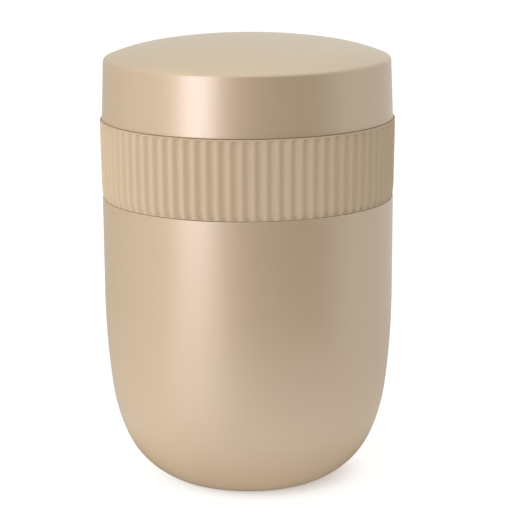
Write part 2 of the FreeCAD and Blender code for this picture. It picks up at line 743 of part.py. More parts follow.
def make_stopper_base():
    wall = size.plug_wall
    top = size.flange_bottom
    tube_top = size.well_floor - size.cover_wall
    edge = size.flange_round
    outline = Outline(size.tube_bore, size.plug_bottom)
    outline.line(size.plug_radius - edge, size.plug_bottom)
    outline.arc(size.plug_radius, size.plug_bottom + edge, edge)
    outline.line(size.plug_radius, top)
    outline.line(size.plug_radius - wall, top)
    outline.line(size.plug_radius - wall, size.plug_bottom + wall)
    outline.line(size.tube_bore + size.tube_wall, size.plug_bottom + wall)
    outline.line(size.tube_bore + size.tube_wall, tube_top)
    outline.line(size.tube_bore, tube_top)
    body = turned("stopper_base", outline)
    walls = (size.plug_radius, size.plug_radius + size.plug_bead_height)
    start = size.bore_bead_start - size.stopper_lead / size.stopper_starts / 2
    turns = size.plug_bead_turns
    add_thread(body, "plug", walls, start, size.stopper_lead, turns, size.stopper_starts)
    keep("stopper_base", body)


def make_stopper_top():
    cover = size.cover_wall
    edge = size.flange_round
    top = size.stopper_top_height
    floor = size.recess_floor
    well = size.well_radius + cover
    collar = size.collar_radius
    guide = size.stem_radius + size.stem_play
    outline = Outline(guide, size.well_floor - cover)
    outline.line(well, size.well_floor - cover)
    outline.line(well, floor - cover)
    outline.line(collar + size.collar_wall, floor - cover)
    outline.line(collar + size.collar_wall, size.flange_bottom)
    outline.line(size.flange_radius, size.flange_bottom)
    outline.line(size.flange_radius, top - edge)
    outline.arc(size.flange_radius - edge, top, edge)
    outline.line(collar + edge, top)
    outline.arc(collar, top - edge, edge)
    outline.line(collar, floor)
    outline.line(well, floor)
    outline.line(well, size.well_top - edge)
    outline.arc(well - edge, size.well_top, edge)
    outline.line(size.well_radius, size.well_top)
    outline.line(size.well_radius, size.well_floor)
    outline.line(guide, size.well_floor)
    body = turned("stopper_top", outline)
    add_grips(body)
    scallop_place = size.flange_radius + size.scallop_radius - size.scallop_depth
    notch = circle_at(scallop_place, size.scallop_radius)
    scallop, sketch = pocket_down(body, "scallop", notch, top, top - size.flange_bottom)
    repeat_round(body, "scallops", scallop, (sketch, ["N_Axis"]), size.scallop_count)
    drill = circle_at(size.steam_hole_circle, size.steam_hole_radius)
    hole, sketch = pocket_down(body, "steam_hole", drill, size.well_floor, cover)
    repeat_round(body, "steam_holes", hole, (sketch, ["N_Axis"]), size.steam_hole_count)
    keep("stopper_top", body)


def add_grips(body):
    """Two upright bars across the finger recess, from the well to the collar."""
    floor = size.recess_floor
    half = size.grip_width / 2
    near = size.well_radius + size.cover_wall / 2
    far = size.collar_radius + size.cover_wall / 2
    for side, (first, last) in (("front", (0 - far, 0 - near)), ("back", (near, far))):
        offset = Placement(Vector(0, 0, floor.value), Rotation())
        sketch = sketch_on(body, f"{side}_grip_outline", "XY_Plane", offset)
        sketch.setExpression("AttachmentOffset.Base.z", floor.formula)
        Outline(0 - half, first).line(half, first).line(half, last).line(0 - half, last).draw(sketch)
        grip = body.newObject("PartDesign::Pad", f"{side}_grip")
        grip.Profile = sketch
        bind(grip, Length=size.grip_top - floor)


def make_stopper_foam():
    gap = size.foam_gap
    low = size.plug_bottom + size.plug_wall + gap
    tube = size.tube_bore + size.tube_wall + gap
    well = size.well_radius + size.cover_wall + gap
    under_well = size.well_floor - size.cover_wall - gap
    under_cover = size.recess_floor - size.cover_wall - gap
    outer = size.plug_radius - size.plug_wall - gap
    outline = Outline(tube, low).line(outer, low).line(outer, under_cover)
    outline.line(well, under_cover).line(well, under_well).line(tube, under_well)
    keep("stopper_foam", turned("stopper_foam", outline))


def make_gaskets():
    gap = size.gasket_gap
    low = size.rim_height + gap
    high = size.flange_bottom - gap
    stopper = ring(size.stopper_gasket_bore, size.stopper_gasket_radius, low, high)
    keep("stopper_gasket", turned("stopper_gasket", stopper))
    low = size.body_seam_height + gap
    high = size.liner_bottom - gap
    lid = ring(size.lid_gasket_bore, size.lid_gasket_radius, low, high)
    keep("lid_gasket", turned("lid_gasket", lid))


# The vent in the middle of the stopper


def make_vent_button():
    top = size.button_top
    edge = size.button_round
    under = top - size.button_crown
    skirt = size.button_radius - size.button_wall
    dish = size.button_dish_radius
    sag = size.button_dish_depth
    outline = Outline(size.stem_radius, size.button_socket_bottom)
    outline.line(size.button_socket, size.button_socket_bottom)
    outline.line(size.button_socket, under)
    outline.line(skirt, under)
    outline.line(skirt, size.button_bottom)
    outline.line(size.button_radius, size.button_bottom)
    outline.line(size.button_radius, top - edge)
    outline.arc(size.button_radius - edge, top, edge)
    outline.line(dish, top)
    outline.arc(0, top - sag, (dish * dish + sag * sag) / (2 * sag), centre_left=False)
    outline.line(0, size.stem_top)
    outline.line(size.stem_radius, size.stem_top)
    keep("vent_button", turned("vent_button", outline))


def make_vent_stem():
    groove_bottom = size.clip_top - size.clip_thickness
    outline = Outline(0, size.stem_bottom)
    outline.line(size.stem_radius, size.stem_bottom)
    outline.line(size.stem_radius, groove_bottom)
    outline.line(size.clip_groove_radius, groove_bottom)
    outline.line(size.clip_groove_radius, size.clip_top)
    outline.line(size.stem_radius, size.clip_top)
    outline.line(size.stem_radius, size.stem_top)
    outline.line(0, size.stem_top)
    keep("vent_stem", turned("vent_stem", outline))


def make_vent_plug():
    middle = (size.plug_seal_bottom + size.plug_seal_top) / 2
    chamfer = size.plug_seal_top - middle
    outline = Outline(size.stem_radius, size.plug_seal_bottom)
    outline.line(size.plug_seal_radius, size.plug_seal_bottom)
    outline.line(size.plug_seal_radius, middle)
    outline.line(size.plug_seal_radius - chamfer, size.plug_seal_top)
    outline.line(size.stem_radius, size.plug_seal_top)
    keep("vent_plug", turned("vent_plug", outline))


def make_vent_clip():
    low = size.clip_top - size.clip_thickness
    disc = document.addObject("Part::Cylinder", "clip_disc")
    bind(disc, Radius=size.clip_radius, Height=size.clip_thickness)
    place(disc, 0, 0, low)
    hole = document.addObject("Part::Cylinder", "clip_hole")
    bind(hole, Radius=size.clip_groove_radius, Height=size.clip_thickness * 3)
    place(hole, 0, 0, low - size.clip_thickness)
    mouth = document.addObject("Part::Box", "clip_mouth_block")
    bind(mouth, Length=size.clip_radius * 2, Width=size.clip_mouth, Height=size.clip_thickness * 3)
    place(mouth, 0, 0 - size.clip_mouth / 2, low - size.clip_thickness)
    ring_cut = document.addObject("Part::Cut", "clip_ring")
    ring_cut.Base = disc
    ring_cut.Tool = hole
    clip = document.addObject("Part::Cut", "vent_clip")
    clip.Base = ring_cut
    clip.Tool = mouth
    keep("vent_clip", clip)


def helix_point(radius, bottom, pitch, turns):
    """A point of the spring's centre line and its direction, some turns above the bottom."""
    angle = 2 * math.pi * turns
    point = Vector(radius * math.cos(angle), radius * math.sin(angle), bottom + pitch * turns)
    rise = pitch / (2 * math.pi)
    way = Vector(-radius * math.sin(angle), radius * math.cos(angle), rise).normalize()
    return point, way


def arc_along(start, way, end):
    """The arc from one point to another that leaves the first in a given direction."""
    chord = end - start
    aside = way - chord * (way.dot(chord) / chord.dot(chord))
    half_turn = way.getAngle(chord)
    bulge = aside.normalize() * (chord.Length / 2 * math.tan(half_turn / 2))
    return Part.Arc(start, (start + end) * 0.5 + bulge, end).toShape()


def biarc(start, start_way, end, end_way):
    """Two arcs that meet smoothly and keep the directions at both ends."""
    chord = end - start
    both = start_way + end_way
    spread = 2 * (1 - start_way.dot(end_way))
    along = chord.dot(both)
    reach = (math.sqrt(along ** 2 + spread * chord.dot(chord)) - along) / spread
    joint = (start + end + (start_way - end_way) * reach) * 0.5
    joint_way = (end - end_way * reach - start - start_way * reach).normalize()
    return [arc_along(start, start_way, joint), arc_along(joint, joint_way, end)]


def make_vent_spring():
    """The coil spring under the button: one wire on a helix, as two arcs to each quarter turn."""
    radius = size.spring_radius.value
    wire = size.spring_wire.value
    turns = size.spring_turns.value
    bottom = size.well_floor.value + wire / 2
    top = size.button_top.value - size.button_crown.value - size.spring_gap.value - wire / 2
    pitch = (top - bottom) / turns
    quarters = round(turns * 4)
    stations = [helix_point(radius, bottom, pitch, number / 4) for number in range(quarters + 1)]
    arcs = []
    for (start, start_way), (end, end_way) in zip(stations, stations[1:]):
        arcs.extend(biarc(start, start_way, end, end_way))
    path = Part.Wire(arcs)
    first, way = stations[0]
    section = Part.Wire(Part.Circle(first, way, wire / 2).toShape())
    spring = document.addObject("Part::Feature", "vent_spring")
    spring.Shape = path.makePipeShell([section], True, False)
    spring.Placement = Placement()
    keep("vent_spring", spring)
    samples = path.discretize(Number=SPRING_SAMPLES)
    apart = SPRING_SAMPLES // quarters * 2
    gaps = [
        (samples[late] - samples[early]).Length
        for early in range(SPRING_SAMPLES)
        for late in range(early + apart, SPRING_SAMPLES)
    ]
    print(f"vent spring: least gap between turns {min(gaps) - wire:.2f} mm")


def build():
    make_outer_shell()
    make_inner_vessel()
    make_base_plate()
    make_vacuum_seal()
    make_foot_pad()
    make_getter()
    make_lid_shell()
    make_lid_liner()
    make_lid_foam()
    make_ribbed_sleeve()
    make_stopper_base()
    make_stopper_top()
    make_stopper_foam()
    make_gaskets()
    make_vent_button()
    make_vent_stem()
    make_vent_plug()
    make_vent_clip()
    make_vent_spring()
    document.recompute()


def check():
    """Stop before anything is written if an object failed or a shape is bad."""
    for thing in document.Objects:
        if "Invalid" in thing.State or "Error" in thing.State:
            raise RuntimeError(f"{thing.Label} did not rebuild: {thing.State}")
    for name, thing in nodes.items():
        shape = thing.Shape
        if shape.isNull() or not shape.isValid() or len(shape.Solids) != 1:
            raise RuntimeError(f"{name} is not one sound solid")


def write():
    os.makedirs("parts", exist_ok=True)
    for name, thing in nodes.items():
        thing.Shape.exportStep(f"parts/{name}.step")
        box = thing.Shape.BoundBox
        print(f"{name}: {thing.Shape.Volume:.0f} mm3, from {box.ZMin:.2f} to {box.ZMax:.2f} mm")


build()
check()
write()
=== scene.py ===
"""The looks of an insulated food jar: painted jar and lid, silicone grip sleeve, screw stopper.

Sizes of the pieces are in millimetres, as on a drawing; every mesh is in metres.
"""

import logging
import math
from dataclasses import dataclass, field
from enum import Enum
from typing import Any, Mapping

import bmesh
import bpy
from mathutils import Matrix, Quaternion, Vector


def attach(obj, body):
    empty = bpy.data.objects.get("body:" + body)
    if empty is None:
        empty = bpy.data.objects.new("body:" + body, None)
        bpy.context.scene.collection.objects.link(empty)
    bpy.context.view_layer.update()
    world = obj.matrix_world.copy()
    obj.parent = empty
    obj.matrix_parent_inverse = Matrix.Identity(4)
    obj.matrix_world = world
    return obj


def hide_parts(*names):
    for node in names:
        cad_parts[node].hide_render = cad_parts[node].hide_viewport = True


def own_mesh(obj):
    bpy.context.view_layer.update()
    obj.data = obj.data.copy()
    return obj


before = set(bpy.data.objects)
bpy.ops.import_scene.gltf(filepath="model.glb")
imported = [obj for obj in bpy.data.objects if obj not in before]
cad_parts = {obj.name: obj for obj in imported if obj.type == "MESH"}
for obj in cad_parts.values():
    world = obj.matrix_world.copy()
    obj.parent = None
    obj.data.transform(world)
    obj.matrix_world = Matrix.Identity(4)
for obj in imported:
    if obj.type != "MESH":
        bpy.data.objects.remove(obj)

MM = 0.001
FULL_TURN = 2 * math.pi
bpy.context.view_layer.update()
log = logging.getLogger("food_jar")

# Fineness of the meshes, in millimetres, radians and steps.
ON_AXIS = 1e-6
ARC_STEP = 1.5
ARC_TURN = math.radians(6)
UNDIVIDED = ARC_STEP * 1.1
LINE_STEP = 3.0
LINE_END = 0.12
EASE_SHARE = 0.4
EASE_STEPS = 4
SEAL_EASE = 0.4
SHARP_TURN = math.radians(40.0)
SEGMENTS = 256
WALL_SEGMENTS = 288
FOOT_SEGMENTS = 192
SMALL_SEGMENTS = 128
ROD_SEGMENTS = 96
BEAD_STEPS = 160
BEAD_SIDES = 20
BEAD_END = 0.08

Point = tuple[float, float]
Span = tuple[float, float]
Colour = tuple[float, float, float]


class Body(Enum):
    """The rigid bodies that a piece can ride on."""

    JAR = "jar"
    LID_SEAL = "lid_seal"
    LID = "lid"
    STOPPER_SEAL = "stopper_seal"
    STOPPER = "stopper"
    VENT = "vent"


# Node trees


class Graph:
    """A node tree that is built by one method for nodes and by arithmetic on values."""

    def __init__(self, tree: bpy.types.NodeTree) -> None:
        """Keep the shader or geometry tree to build in."""
        self.tree = tree

    def add(
        self,
        kind: str,
        settings: Mapping[str, Any] | None = None,
        inputs: Mapping[int | str, Any] | None = None,
    ) -> bpy.types.Node:
        """Add one node.

        Args:
            kind: The node's type.
            settings: Its properties, which are set first.
            inputs: What its inputs are fed, by name or number.

        Returns:
            The new node.
        """
        node = self.tree.nodes.new(kind)
        for name, value in (settings or {}).items():
            setattr(node, name, value)
        self.feed(node, inputs or {})
        return node

    def feed(self, node: bpy.types.Node, inputs: Mapping[int | str, Any]) -> None:
        """Feed a node's inputs with values, sockets, nodes' first outputs or plain numbers."""
        for key, given in inputs.items():
            if isinstance(given, bpy.types.Node):
                given = given.outputs[0]
            elif isinstance(given, Value):
                given = given.socket
            if isinstance(given, bpy.types.NodeSocket):
                self.tree.links.new(given, node.inputs[key])
            else:
                node.inputs[key].default_value = given

    def value(self, node: bpy.types.Node, output: int | str = 0) -> "Value":
        """Wrap a node's output for arithmetic."""
        return Value(self, node.outputs[output])

    def math(self, operation: str, *inputs: Any) -> "Value":
        """Add a Math node and return its result."""
        return self.value(self.add("ShaderNodeMath", {"operation": operation}, dict(enumerate(inputs))))

    def place(self, output: str = "Object") -> bpy.types.NodeSocket:
        """Return texture coordinates, the object's own unless another kind is named."""
        return self.add("ShaderNodeTexCoord").outputs[output]

    def axes(self, vector: Any) -> list["Value"]:
        """Return a vector's three parts."""
        parts = self.add("ShaderNodeSeparateXYZ", None, {0: vector})
        return [self.value(parts, axis) for axis in "XYZ"]

    def vector(self, *parts: Any) -> bpy.types.Node:
        """Join three parts into a vector."""
        return self.add("ShaderNodeCombineXYZ", None, dict(enumerate(parts)))


class Value:
    """A number in a node tree; arithmetic on it adds Math nodes."""

    def __init__(self, graph: Graph, socket: bpy.types.NodeSocket) -> None:
        """Keep the graph and the output socket."""
        self.graph = graph
        self.socket = socket

    def math(self, operation: str, *others: Any) -> "Value":
        """Return the result of a Math node that takes this value first."""
        return self.graph.math(operation, self, *others)

    def __add__(self, other: Any) -> "Value":
        """Return the sum."""
        return self.math("ADD", other)

    def __sub__(self, other: Any) -> "Value":
        """Return the difference."""
        return self.math("SUBTRACT", other)

    def __rsub__(self, other: float) -> "Value":
        """Return the difference with a number first."""
        return self.graph.math("SUBTRACT", other, self)

    def __mul__(self, other: Any) -> "Value":
        """Return the product."""
        return self.math("MULTIPLY", other)

    def __truediv__(self, other: Any) -> "Value":
        """Return the quotient."""
        return self.math("DIVIDE", other)

    def __pow__(self, other: Any) -> "Value":
        """Return the power."""
        return self.math("POWER", other)

    def smooth(self, low: float, high: float) -> "Value":
        """Rise smoothly from 0 at the low end to 1 at the high end."""
        node = self.graph.add(
            "ShaderNodeMapRange",
            {"interpolation_type": "SMOOTHSTEP"},
            {"Value": self, "From Min": low, "From Max": high, "To Min": 0.0, "To Max": 1.0},
        )
        return self.graph.value(node)


def distance(across: Value, back: Value) -> Value:
    """Return the level distance from the axis."""
    return (across * across + back * back).math("SQRT")


# Finishes


@dataclass(frozen=True)
class Finish:
    """A surface finish: a name, a colour and how it takes the light."""

    name: str
    colour: Colour
    roughness: float = 0.5
    metallic: float = 0.0
    specular: float = 0.5

    def material(self) -> bpy.types.Material:
        """Return the material, made on the first call."""
        made = bpy.data.materials.get(self.name)
        if made is not None:
            return made
        made = bpy.data.materials.new(self.name)
        made.use_nodes = True
        graph = Graph(made.node_tree)
        shader = made.node_tree.nodes["Principled BSDF"]
        plain = {
            "Base Color": (*self.colour, 1.0),
            "Roughness": self.roughness,
            "Metallic": self.metallic,
            "Specular IOR Level": self.specular,
        }
        graph.feed(shader, plain)
        self.dress(graph, shader)
        return made

    def dress(self, graph: Graph, shader: bpy.types.Node) -> None:
        """Add what varies over the surface. The plain finish adds nothing."""

    def vary(
        self, graph: Graph, shader: bpy.types.Node, other: Colour, share: Value, height: Value, depth: float
    ) -> None:
        """Vary the colour and the surface.

        Args:
            graph: The material's nodes.
            shader: Its Principled shader.
            other: The second colour.
            share: How much of it shows, between 0 and 1.
            height: How far the surface stands out, between 0 and 1.
            depth: The whole height, in metres.
        """
        colours = {"Factor": share, 6: (*self.colour, 1.0), 7: (*other, 1.0)}
        mixed = graph.add("ShaderNodeMix", {"data_type": "RGBA"}, colours)
        raised = graph.add("ShaderNodeBump", None, {"Height": height, "Strength": 1.0, "Distance": depth})
        graph.feed(shader, {"Base Color": mixed.outputs[2], "Normal": raised})


@dataclass(frozen=True)
class Speckle:
    """Noise over a surface, and how strongly it shows.

    Attributes:
        scale: Cycles in a metre.
        detail: Detail of the noise.
        share: The most that it adds.
        edge: Noise values between which it rises, or none for the noise itself.
    """

    scale: float
    detail: float
    share: float
    edge: Span | None = None

    def noise(self, graph: Graph, vector: Any) -> Value:
        """Return the noise, between 0 and 1."""
        inputs = {"Vector": vector, "Scale": self.scale, "Detail": self.detail}
        return graph.value(graph.add("ShaderNodeTexNoise", None, inputs), "Fac")

    def shown(self, noise: Value) -> Value:
        """Return what the noise adds."""
        return (noise.smooth(*self.edge) if self.edge else noise) * self.share


@dataclass(frozen=True)
class Grained(Finish):
    """A fine grain in colour, gloss and surface, over a broad cloud of colour.

    Attributes:
        other: The second colour.
        fine: The grain.
        broad: The cloud.
        gloss: How far the grain varies the roughness.
        depth: Height of the grain, in metres.
        layers: Other inputs of the shader, with what they are fed.
    """

    other: Colour = (0.5, 0.4, 0.3)
    fine: Speckle = Speckle(3000.0, 3.0, 0.05)
    broad: Speckle = Speckle(30.0, 2.0, 0.15, (0.3, 0.8))
    gloss: float = 0.1
    depth: float = 1.0e-5
    layers: tuple[tuple[str, Any], ...] = ()

    def dress(self, graph: Graph, shader: bpy.types.Node) -> None:
        """Add the grain, the cloud and the layers."""
        place = graph.place()
        grain = self.fine.noise(graph, place)
        share = self.fine.shown(grain) + self.broad.shown(self.broad.noise(graph, place))
        self.vary(graph, shader, self.other, share, grain, self.depth)
        graph.feed(shader, {"Roughness": grain * self.gloss + (self.roughness - self.gloss / 2)})
        graph.feed(shader, dict(self.layers))


@dataclass(frozen=True)
class MetallicCoat(Grained):
    """A satin coat: fine metal flakes under a thin clear layer."""

    fine: Speckle = Speckle(5200.0, 3.0, 0.28, (0.35, 0.75))
    broad: Speckle = Speckle(18.0, 2.0, 0.06)
    gloss: float = 0.08
    depth: float = 2.0e-6
    layers: tuple[tuple[str, Any], ...] = (
        ("Coat Weight", 1.0),
        ("Coat IOR", 2.5),
        ("Coat Roughness", 0.34),
    )


@dataclass(frozen=True)
class Silicone(Grained):
    """Matte silicone rubber with a fine moulded grain and a soft bloom."""

    fine: Speckle = Speckle(2600.0, 4.0, 0.05)
    broad: Speckle = Speckle(60.0, 3.0, 0.16, (0.3, 0.8))
    gloss: float = 0.12
    depth: float = 1.2e-5
    layers: tuple[tuple[str, Any], ...] = (("Sheen Weight", 0.03), ("Sheen Roughness", 0.5))


@dataclass(frozen=True)
class MouldedPlastic(Grained):
    """Polypropylene from an eroded mould: a fine even grain and a soft depth."""

    fine: Speckle = Speckle(3400.0, 3.0, 0.06)
    broad: Speckle = Speckle(30.0, 2.0, 0.14, (0.3, 0.8))
    gloss: float = 0.14
    depth: float = 6.0e-6
    layers: tuple[tuple[str, Any], ...] = (
        ("Subsurface Weight", 0.08),
        ("Subsurface Radius", (0.004, 0.003, 0.002)),
        ("Subsurface Scale", 0.5),
    )


@dataclass(frozen=True)
class TurnedSteel(Finish):
    """Stainless steel, polished on a lathe, so the scratches run round it.

    Attributes:
        other: The second colour, in the scratches.
        scratches: The scratches, on coordinates stretched round the axis.
        marks: Faint marks, which only roughen.
        crowding: Scratches in a metre across their run.
        curl: Scratches in a radian along it.
        gloss: How far the scratches vary the roughness.
        depth: Depth of the scratches, in metres.
    """

    other: Colour = (0.4, 0.39, 0.37)
    scratches: Speckle = Speckle(1.0, 3.0, 0.4, (0.4, 0.8))
    marks: Speckle = Speckle(45.0, 4.0, 0.06, (0.45, 0.8))
    crowding: float = 6000.0
    curl: float = 3.0
    gloss: float = 0.16
    depth: float = 1.0e-6

    def dress(self, graph: Graph, shader: bpy.types.Node) -> None:
        """Add fine scratches round the axis and faint marks."""
        place = graph.place()
        across, back, up = graph.axes(place)
        angle = back.math("ARCTAN2", across)
        radius = distance(across, back)
        run = graph.vector(radius * self.crowding, up * self.crowding, angle * self.curl)
        scratches = self.scratches.noise(graph, run)
        marks = self.marks.shown(self.marks.noise(graph, place))
        self.vary(graph, shader, self.other, self.scratches.shown(scratches), scratches, self.depth)
        rough = scratches * self.gloss + marks + (self.roughness - self.gloss / 2)
        graph.feed(shader, {"Roughness": rough})


@dataclass(frozen=True)
class CellFoam(Finish):
    """Closed-cell foam: round cells pressed together."""

    other: Colour = (0.6, 0.6, 0.56)
    scale: float = 900.0
    edge: Span = (0.3, 0.8)
    depth: float = 1.5e-4

    def dress(self, graph: Graph, shader: bpy.types.Node) -> None:
        """Add the cells."""
        cells = graph.add("ShaderNodeTexVoronoi", None, {"Vector": graph.place(), "Scale": self.scale})
        middle = graph.value(cells, "Distance")
        self.vary(graph, shader, self.other, middle.smooth(*self.edge), 1.0 - middle, self.depth)


COAT = MetallicCoat(
    "champagne_coat", (0.602, 0.444, 0.284), roughness=0.60, metallic=0.40, other=(0.56, 0.405, 0.255)
)
SLEEVE_RUBBER = Silicone(
    "sleeve_rubber", (0.443, 0.343, 0.240), roughness=0.70, specular=0.25, other=(0.49, 0.39, 0.28)
)
FOOT_RUBBER = Silicone(
    "foot_rubber", (0.150, 0.130, 0.110), roughness=0.7, specular=0.3, other=(0.2, 0.18, 0.15)
)
SEAL_RUBBER = Silicone(
    "seal_rubber", (0.78, 0.77, 0.73), roughness=0.45, specular=0.4, other=(0.86, 0.85, 0.82)
)
STEEL = TurnedSteel("turned_steel", (0.62, 0.61, 0.59), roughness=0.26, metallic=1.0)
PELLET_METAL = TurnedSteel(
    "pellet_metal", (0.36, 0.36, 0.37), roughness=0.6, metallic=0.8, other=(0.25, 0.25, 0.26)
)
LINER_PLASTIC = MouldedPlastic(
    "bowl_moulding", (0.70, 0.62, 0.50), roughness=0.42, other=(0.62, 0.53, 0.41)
)
STOPPER_PLASTIC = MouldedPlastic(
    "stopper_moulding", (0.55, 0.455, 0.33), roughness=0.44, other=(0.47, 0.37, 0.26)
)
VENT_PLASTIC = MouldedPlastic(
    "vent_moulding", (0.33, 0.26, 0.18), roughness=0.40, other=(0.27, 0.2, 0.14)
)
FOAM = CellFoam("insulating_foam", (0.86, 0.86, 0.82), roughness=0.8)
SEAL_GLASS = Finish("bead_glass", (0.20, 0.24, 0.20), roughness=0.12, specular=0.6)


# Outlines and turned meshes


@dataclass
class Outline:
    """A closed outline of radius and height, in millimetres, made of lines and arcs.

    Attributes:
        across: Radius of the first point.
        up: Height of the first point.
        ease: Radius that breaks each sharp corner between two lines.
    """

    across: float
    up: float
    ease: float = 0.0
    corners: list[tuple[float, float, float]] = field(default_factory=list)

    def __post_init__(self) -> None:
        """Start the outline at its first point."""
        self.corners.append((self.across, self.up, self.ease))

    def line(self, across: float, up: float, ease: float | None = None) -> "Outline":
        """Go straight to a point, whose corner is broken by the given or usual radius."""
        self.corners.append((across, up, self.ease if ease is None else ease))
        return self

    def arc(self, across: float, up: float, radius: float, centre_left: bool = True) -> "Outline":
        """Go to a point along an arc of under a half circle.

        Args:
            across: Radius of the arc's last point.
            up: Height of the arc's last point.
            radius: The arc's own radius.
            centre_left: Whether its centre lies to the left of the way.

        Returns:
            The outline.
        """
        first = Vector(self.corners[-1][:2])
        last = Vector((across, up))
        chord = last - first
        height = math.sqrt(max(radius**2 - (chord.length / 2) ** 2, 0.0))
        left = Vector((-chord.y, chord.x)).normalized()
        centre = (first + last) / 2 + left * (height if centre_left else -height)
        start = first - centre
        turn = 2 * math.asin(min(chord.length / 2 / radius, 1.0))
        steps = max(math.ceil(turn / ARC_TURN), math.ceil(turn * radius / ARC_STEP), 2)
        sense = 1 if centre_left else -1
        self.corners[-1] = (*self.corners[-1][:2], 0.0)
        for step in range(1, steps):
            spoke = Matrix.Rotation(sense * turn * step / steps, 2) @ start
            self.corners.append((*(centre + spoke), 0.0))
        self.corners.append((across, up, 0.0))
        return self

    def sampled(self, longest: float) -> list[Point]:
        """Return the outline's points, its corners broken and its long lines divided."""
        broken: list[Point] = []
        count = len(self.corners)
        for index, (across, up, ease) in enumerate(self.corners):
            here = Vector((across, up))
            before = Vector(self.corners[index - 1][:2]) - here
            after = Vector(self.corners[(index + 1) % count][:2]) - here
            if ease <= 0.0 or across < ON_AXIS:
                broken.append((across, up))
            else:
                broken.extend(self._broken(here, before, after, ease))
        return self._divided(broken, longest)

    @staticmethod
    def _broken(here: Vector, before: Vector, after: Vector, ease: float) -> list[Point]:
        """Return a corner as a short curve that touches both of its edges."""
        reach = min(ease, before.length * EASE_SHARE, after.length * EASE_SHARE)
        first = here + before.normalized() * reach
        last = here + after.normalized() * reach
        curve = []
        for step in range(EASE_STEPS + 1):
            share = step / EASE_STEPS
            point = first * (1 - share) ** 2 + here * 2 * share * (1 - share) + last * share**2
            curve.append((point.x, point.y))
        return curve

    @staticmethod
    def _divided(points: list[Point], longest: float) -> list[Point]:
        """Divide long lines, with a short first and last piece that keep curves true."""
        divided: list[Point] = []
        for index, point in enumerate(points):
            first = Vector(point)
            last = Vector(points[(index + 1) % len(points)])
            divided.append((first.x, first.y))
            length = (last - first).length
            if length < UNDIVIDED or max(first.x, last.x) < ON_AXIS:
                continue
            pieces = max(round(length / longest), 1)
            inner = length - 2 * LINE_END
            for step in range(pieces + 1):
                place = first + (last - first) * ((LINE_END + inner * step / pieces) / length)
                divided.append((place.x, place.y))
        return divided


def as_mesh(name: str, shape: bmesh.types.BMesh) -> bpy.types.Mesh:
    """Return a shape as a mesh, and free the shape."""
    mesh = bpy.data.meshes.new(name)
    shape.to_mesh(mesh)
    shape.free()
    return mesh


def joined(name: str, *meshes: bpy.types.Mesh) -> bpy.types.Mesh:
    """Return one mesh that holds several."""
    shape = bmesh.new()
    for mesh in meshes:
        shape.from_mesh(mesh)
    return as_mesh(name, shape)


def lathe(
    name: str, outline: Outline, segments: int = SEGMENTS, longest: float = LINE_STEP
) -> bpy.types.Mesh:
    """Turn an outline about the vertical axis into a closed mesh.

    Args:
        name: Name of the mesh.
        outline: The outline, in millimetres.
        segments: Number of steps round the axis.
        longest: Longest straight step along the outline, in millimetres.

    Returns:
        The mesh, in metres, its faces pointing outwards.
    """
    shape = bmesh.new()
    angles = [FULL_TURN * step / segments for step in range(segments)]
    rings: list[list[bmesh.types.BMVert]] = []
    for across, up in outline.sampled(longest):
        radius, height = across * MM, up * MM
        spots = [(0.0, 0.0, height)]
        if across >= ON_AXIS:
            spots = [(radius * math.cos(angle), radius * math.sin(angle), height) for angle in angles]
        rings.append([shape.verts.new(spot) for spot in spots])
    for index, ring in enumerate(rings):
        after = rings[(index + 1) % len(rings)]
        if len(ring) == 1 and len(after) == 1:
            continue
        for step in range(segments):
            beside = (step + 1) % segments
            if len(ring) == 1:
                shape.faces.new((ring[0], after[beside], after[step]))
            elif len(after) == 1:
                shape.faces.new((ring[step], ring[beside], after[0]))
            else:
                shape.faces.new((ring[step], ring[beside], after[beside], after[step]))
    bmesh.ops.recalc_face_normals(shape, faces=shape.faces)
    return as_mesh(name, shape)


def stand(
    name: str, mesh: bpy.types.Mesh, finish: Finish, body: Body, node: str
) -> bpy.types.Object:
    """Shade a mesh smooth and put it in the scene as one piece.

    Args:
        name: Name of the piece.
        mesh: Its mesh, in place and in metres.
        finish: Its finish.
        body: The body that it rides on.
        node: The CAD node that it replaces.

    Returns:
        The piece.
    """
    mesh.shade_smooth()
    mesh.set_sharp_from_angle(angle=SHARP_TURN)
    piece = bpy.data.objects.new(name, mesh)
    bpy.context.scene.collection.objects.link(piece)
    mesh.materials.clear()
    mesh.materials.append(finish.material())
    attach(piece, body.value)
    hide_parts(node)
    mesh.calc_loop_triangles()
    log.info("%s: %d triangles on %s", name, len(mesh.loop_triangles), body.value)
    return piece


def repaint(finish: Finish, *nodes: str) -> None:
    """Give CAD nodes that stay in the scene their finish."""
    for node in nodes:
        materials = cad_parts[node].data.materials
        materials.clear()
        materials.append(finish.material())
        log.info("%s keeps its solid, finished as %s", node, finish.name)


def seal_ring(name: str, low: Point, high: Point, body: Body, node: str) -> None:
    """Make a plain silicone ring.

    Args:
        name: Name of the piece.
        low: Radius and height of its inner lower corner.
        high: Radius and height of its outer upper corner.
        body: The body that it rides on.
        node: The CAD node that it replaces.
    """
    outline = Outline(*low, SEAL_EASE).line(high[0], low[1]).line(*high).line(low[0], high[1])
    stand(name, lathe(name, outline), SEAL_RUBBER, body, node)


# Shapes grown by geometry nodes


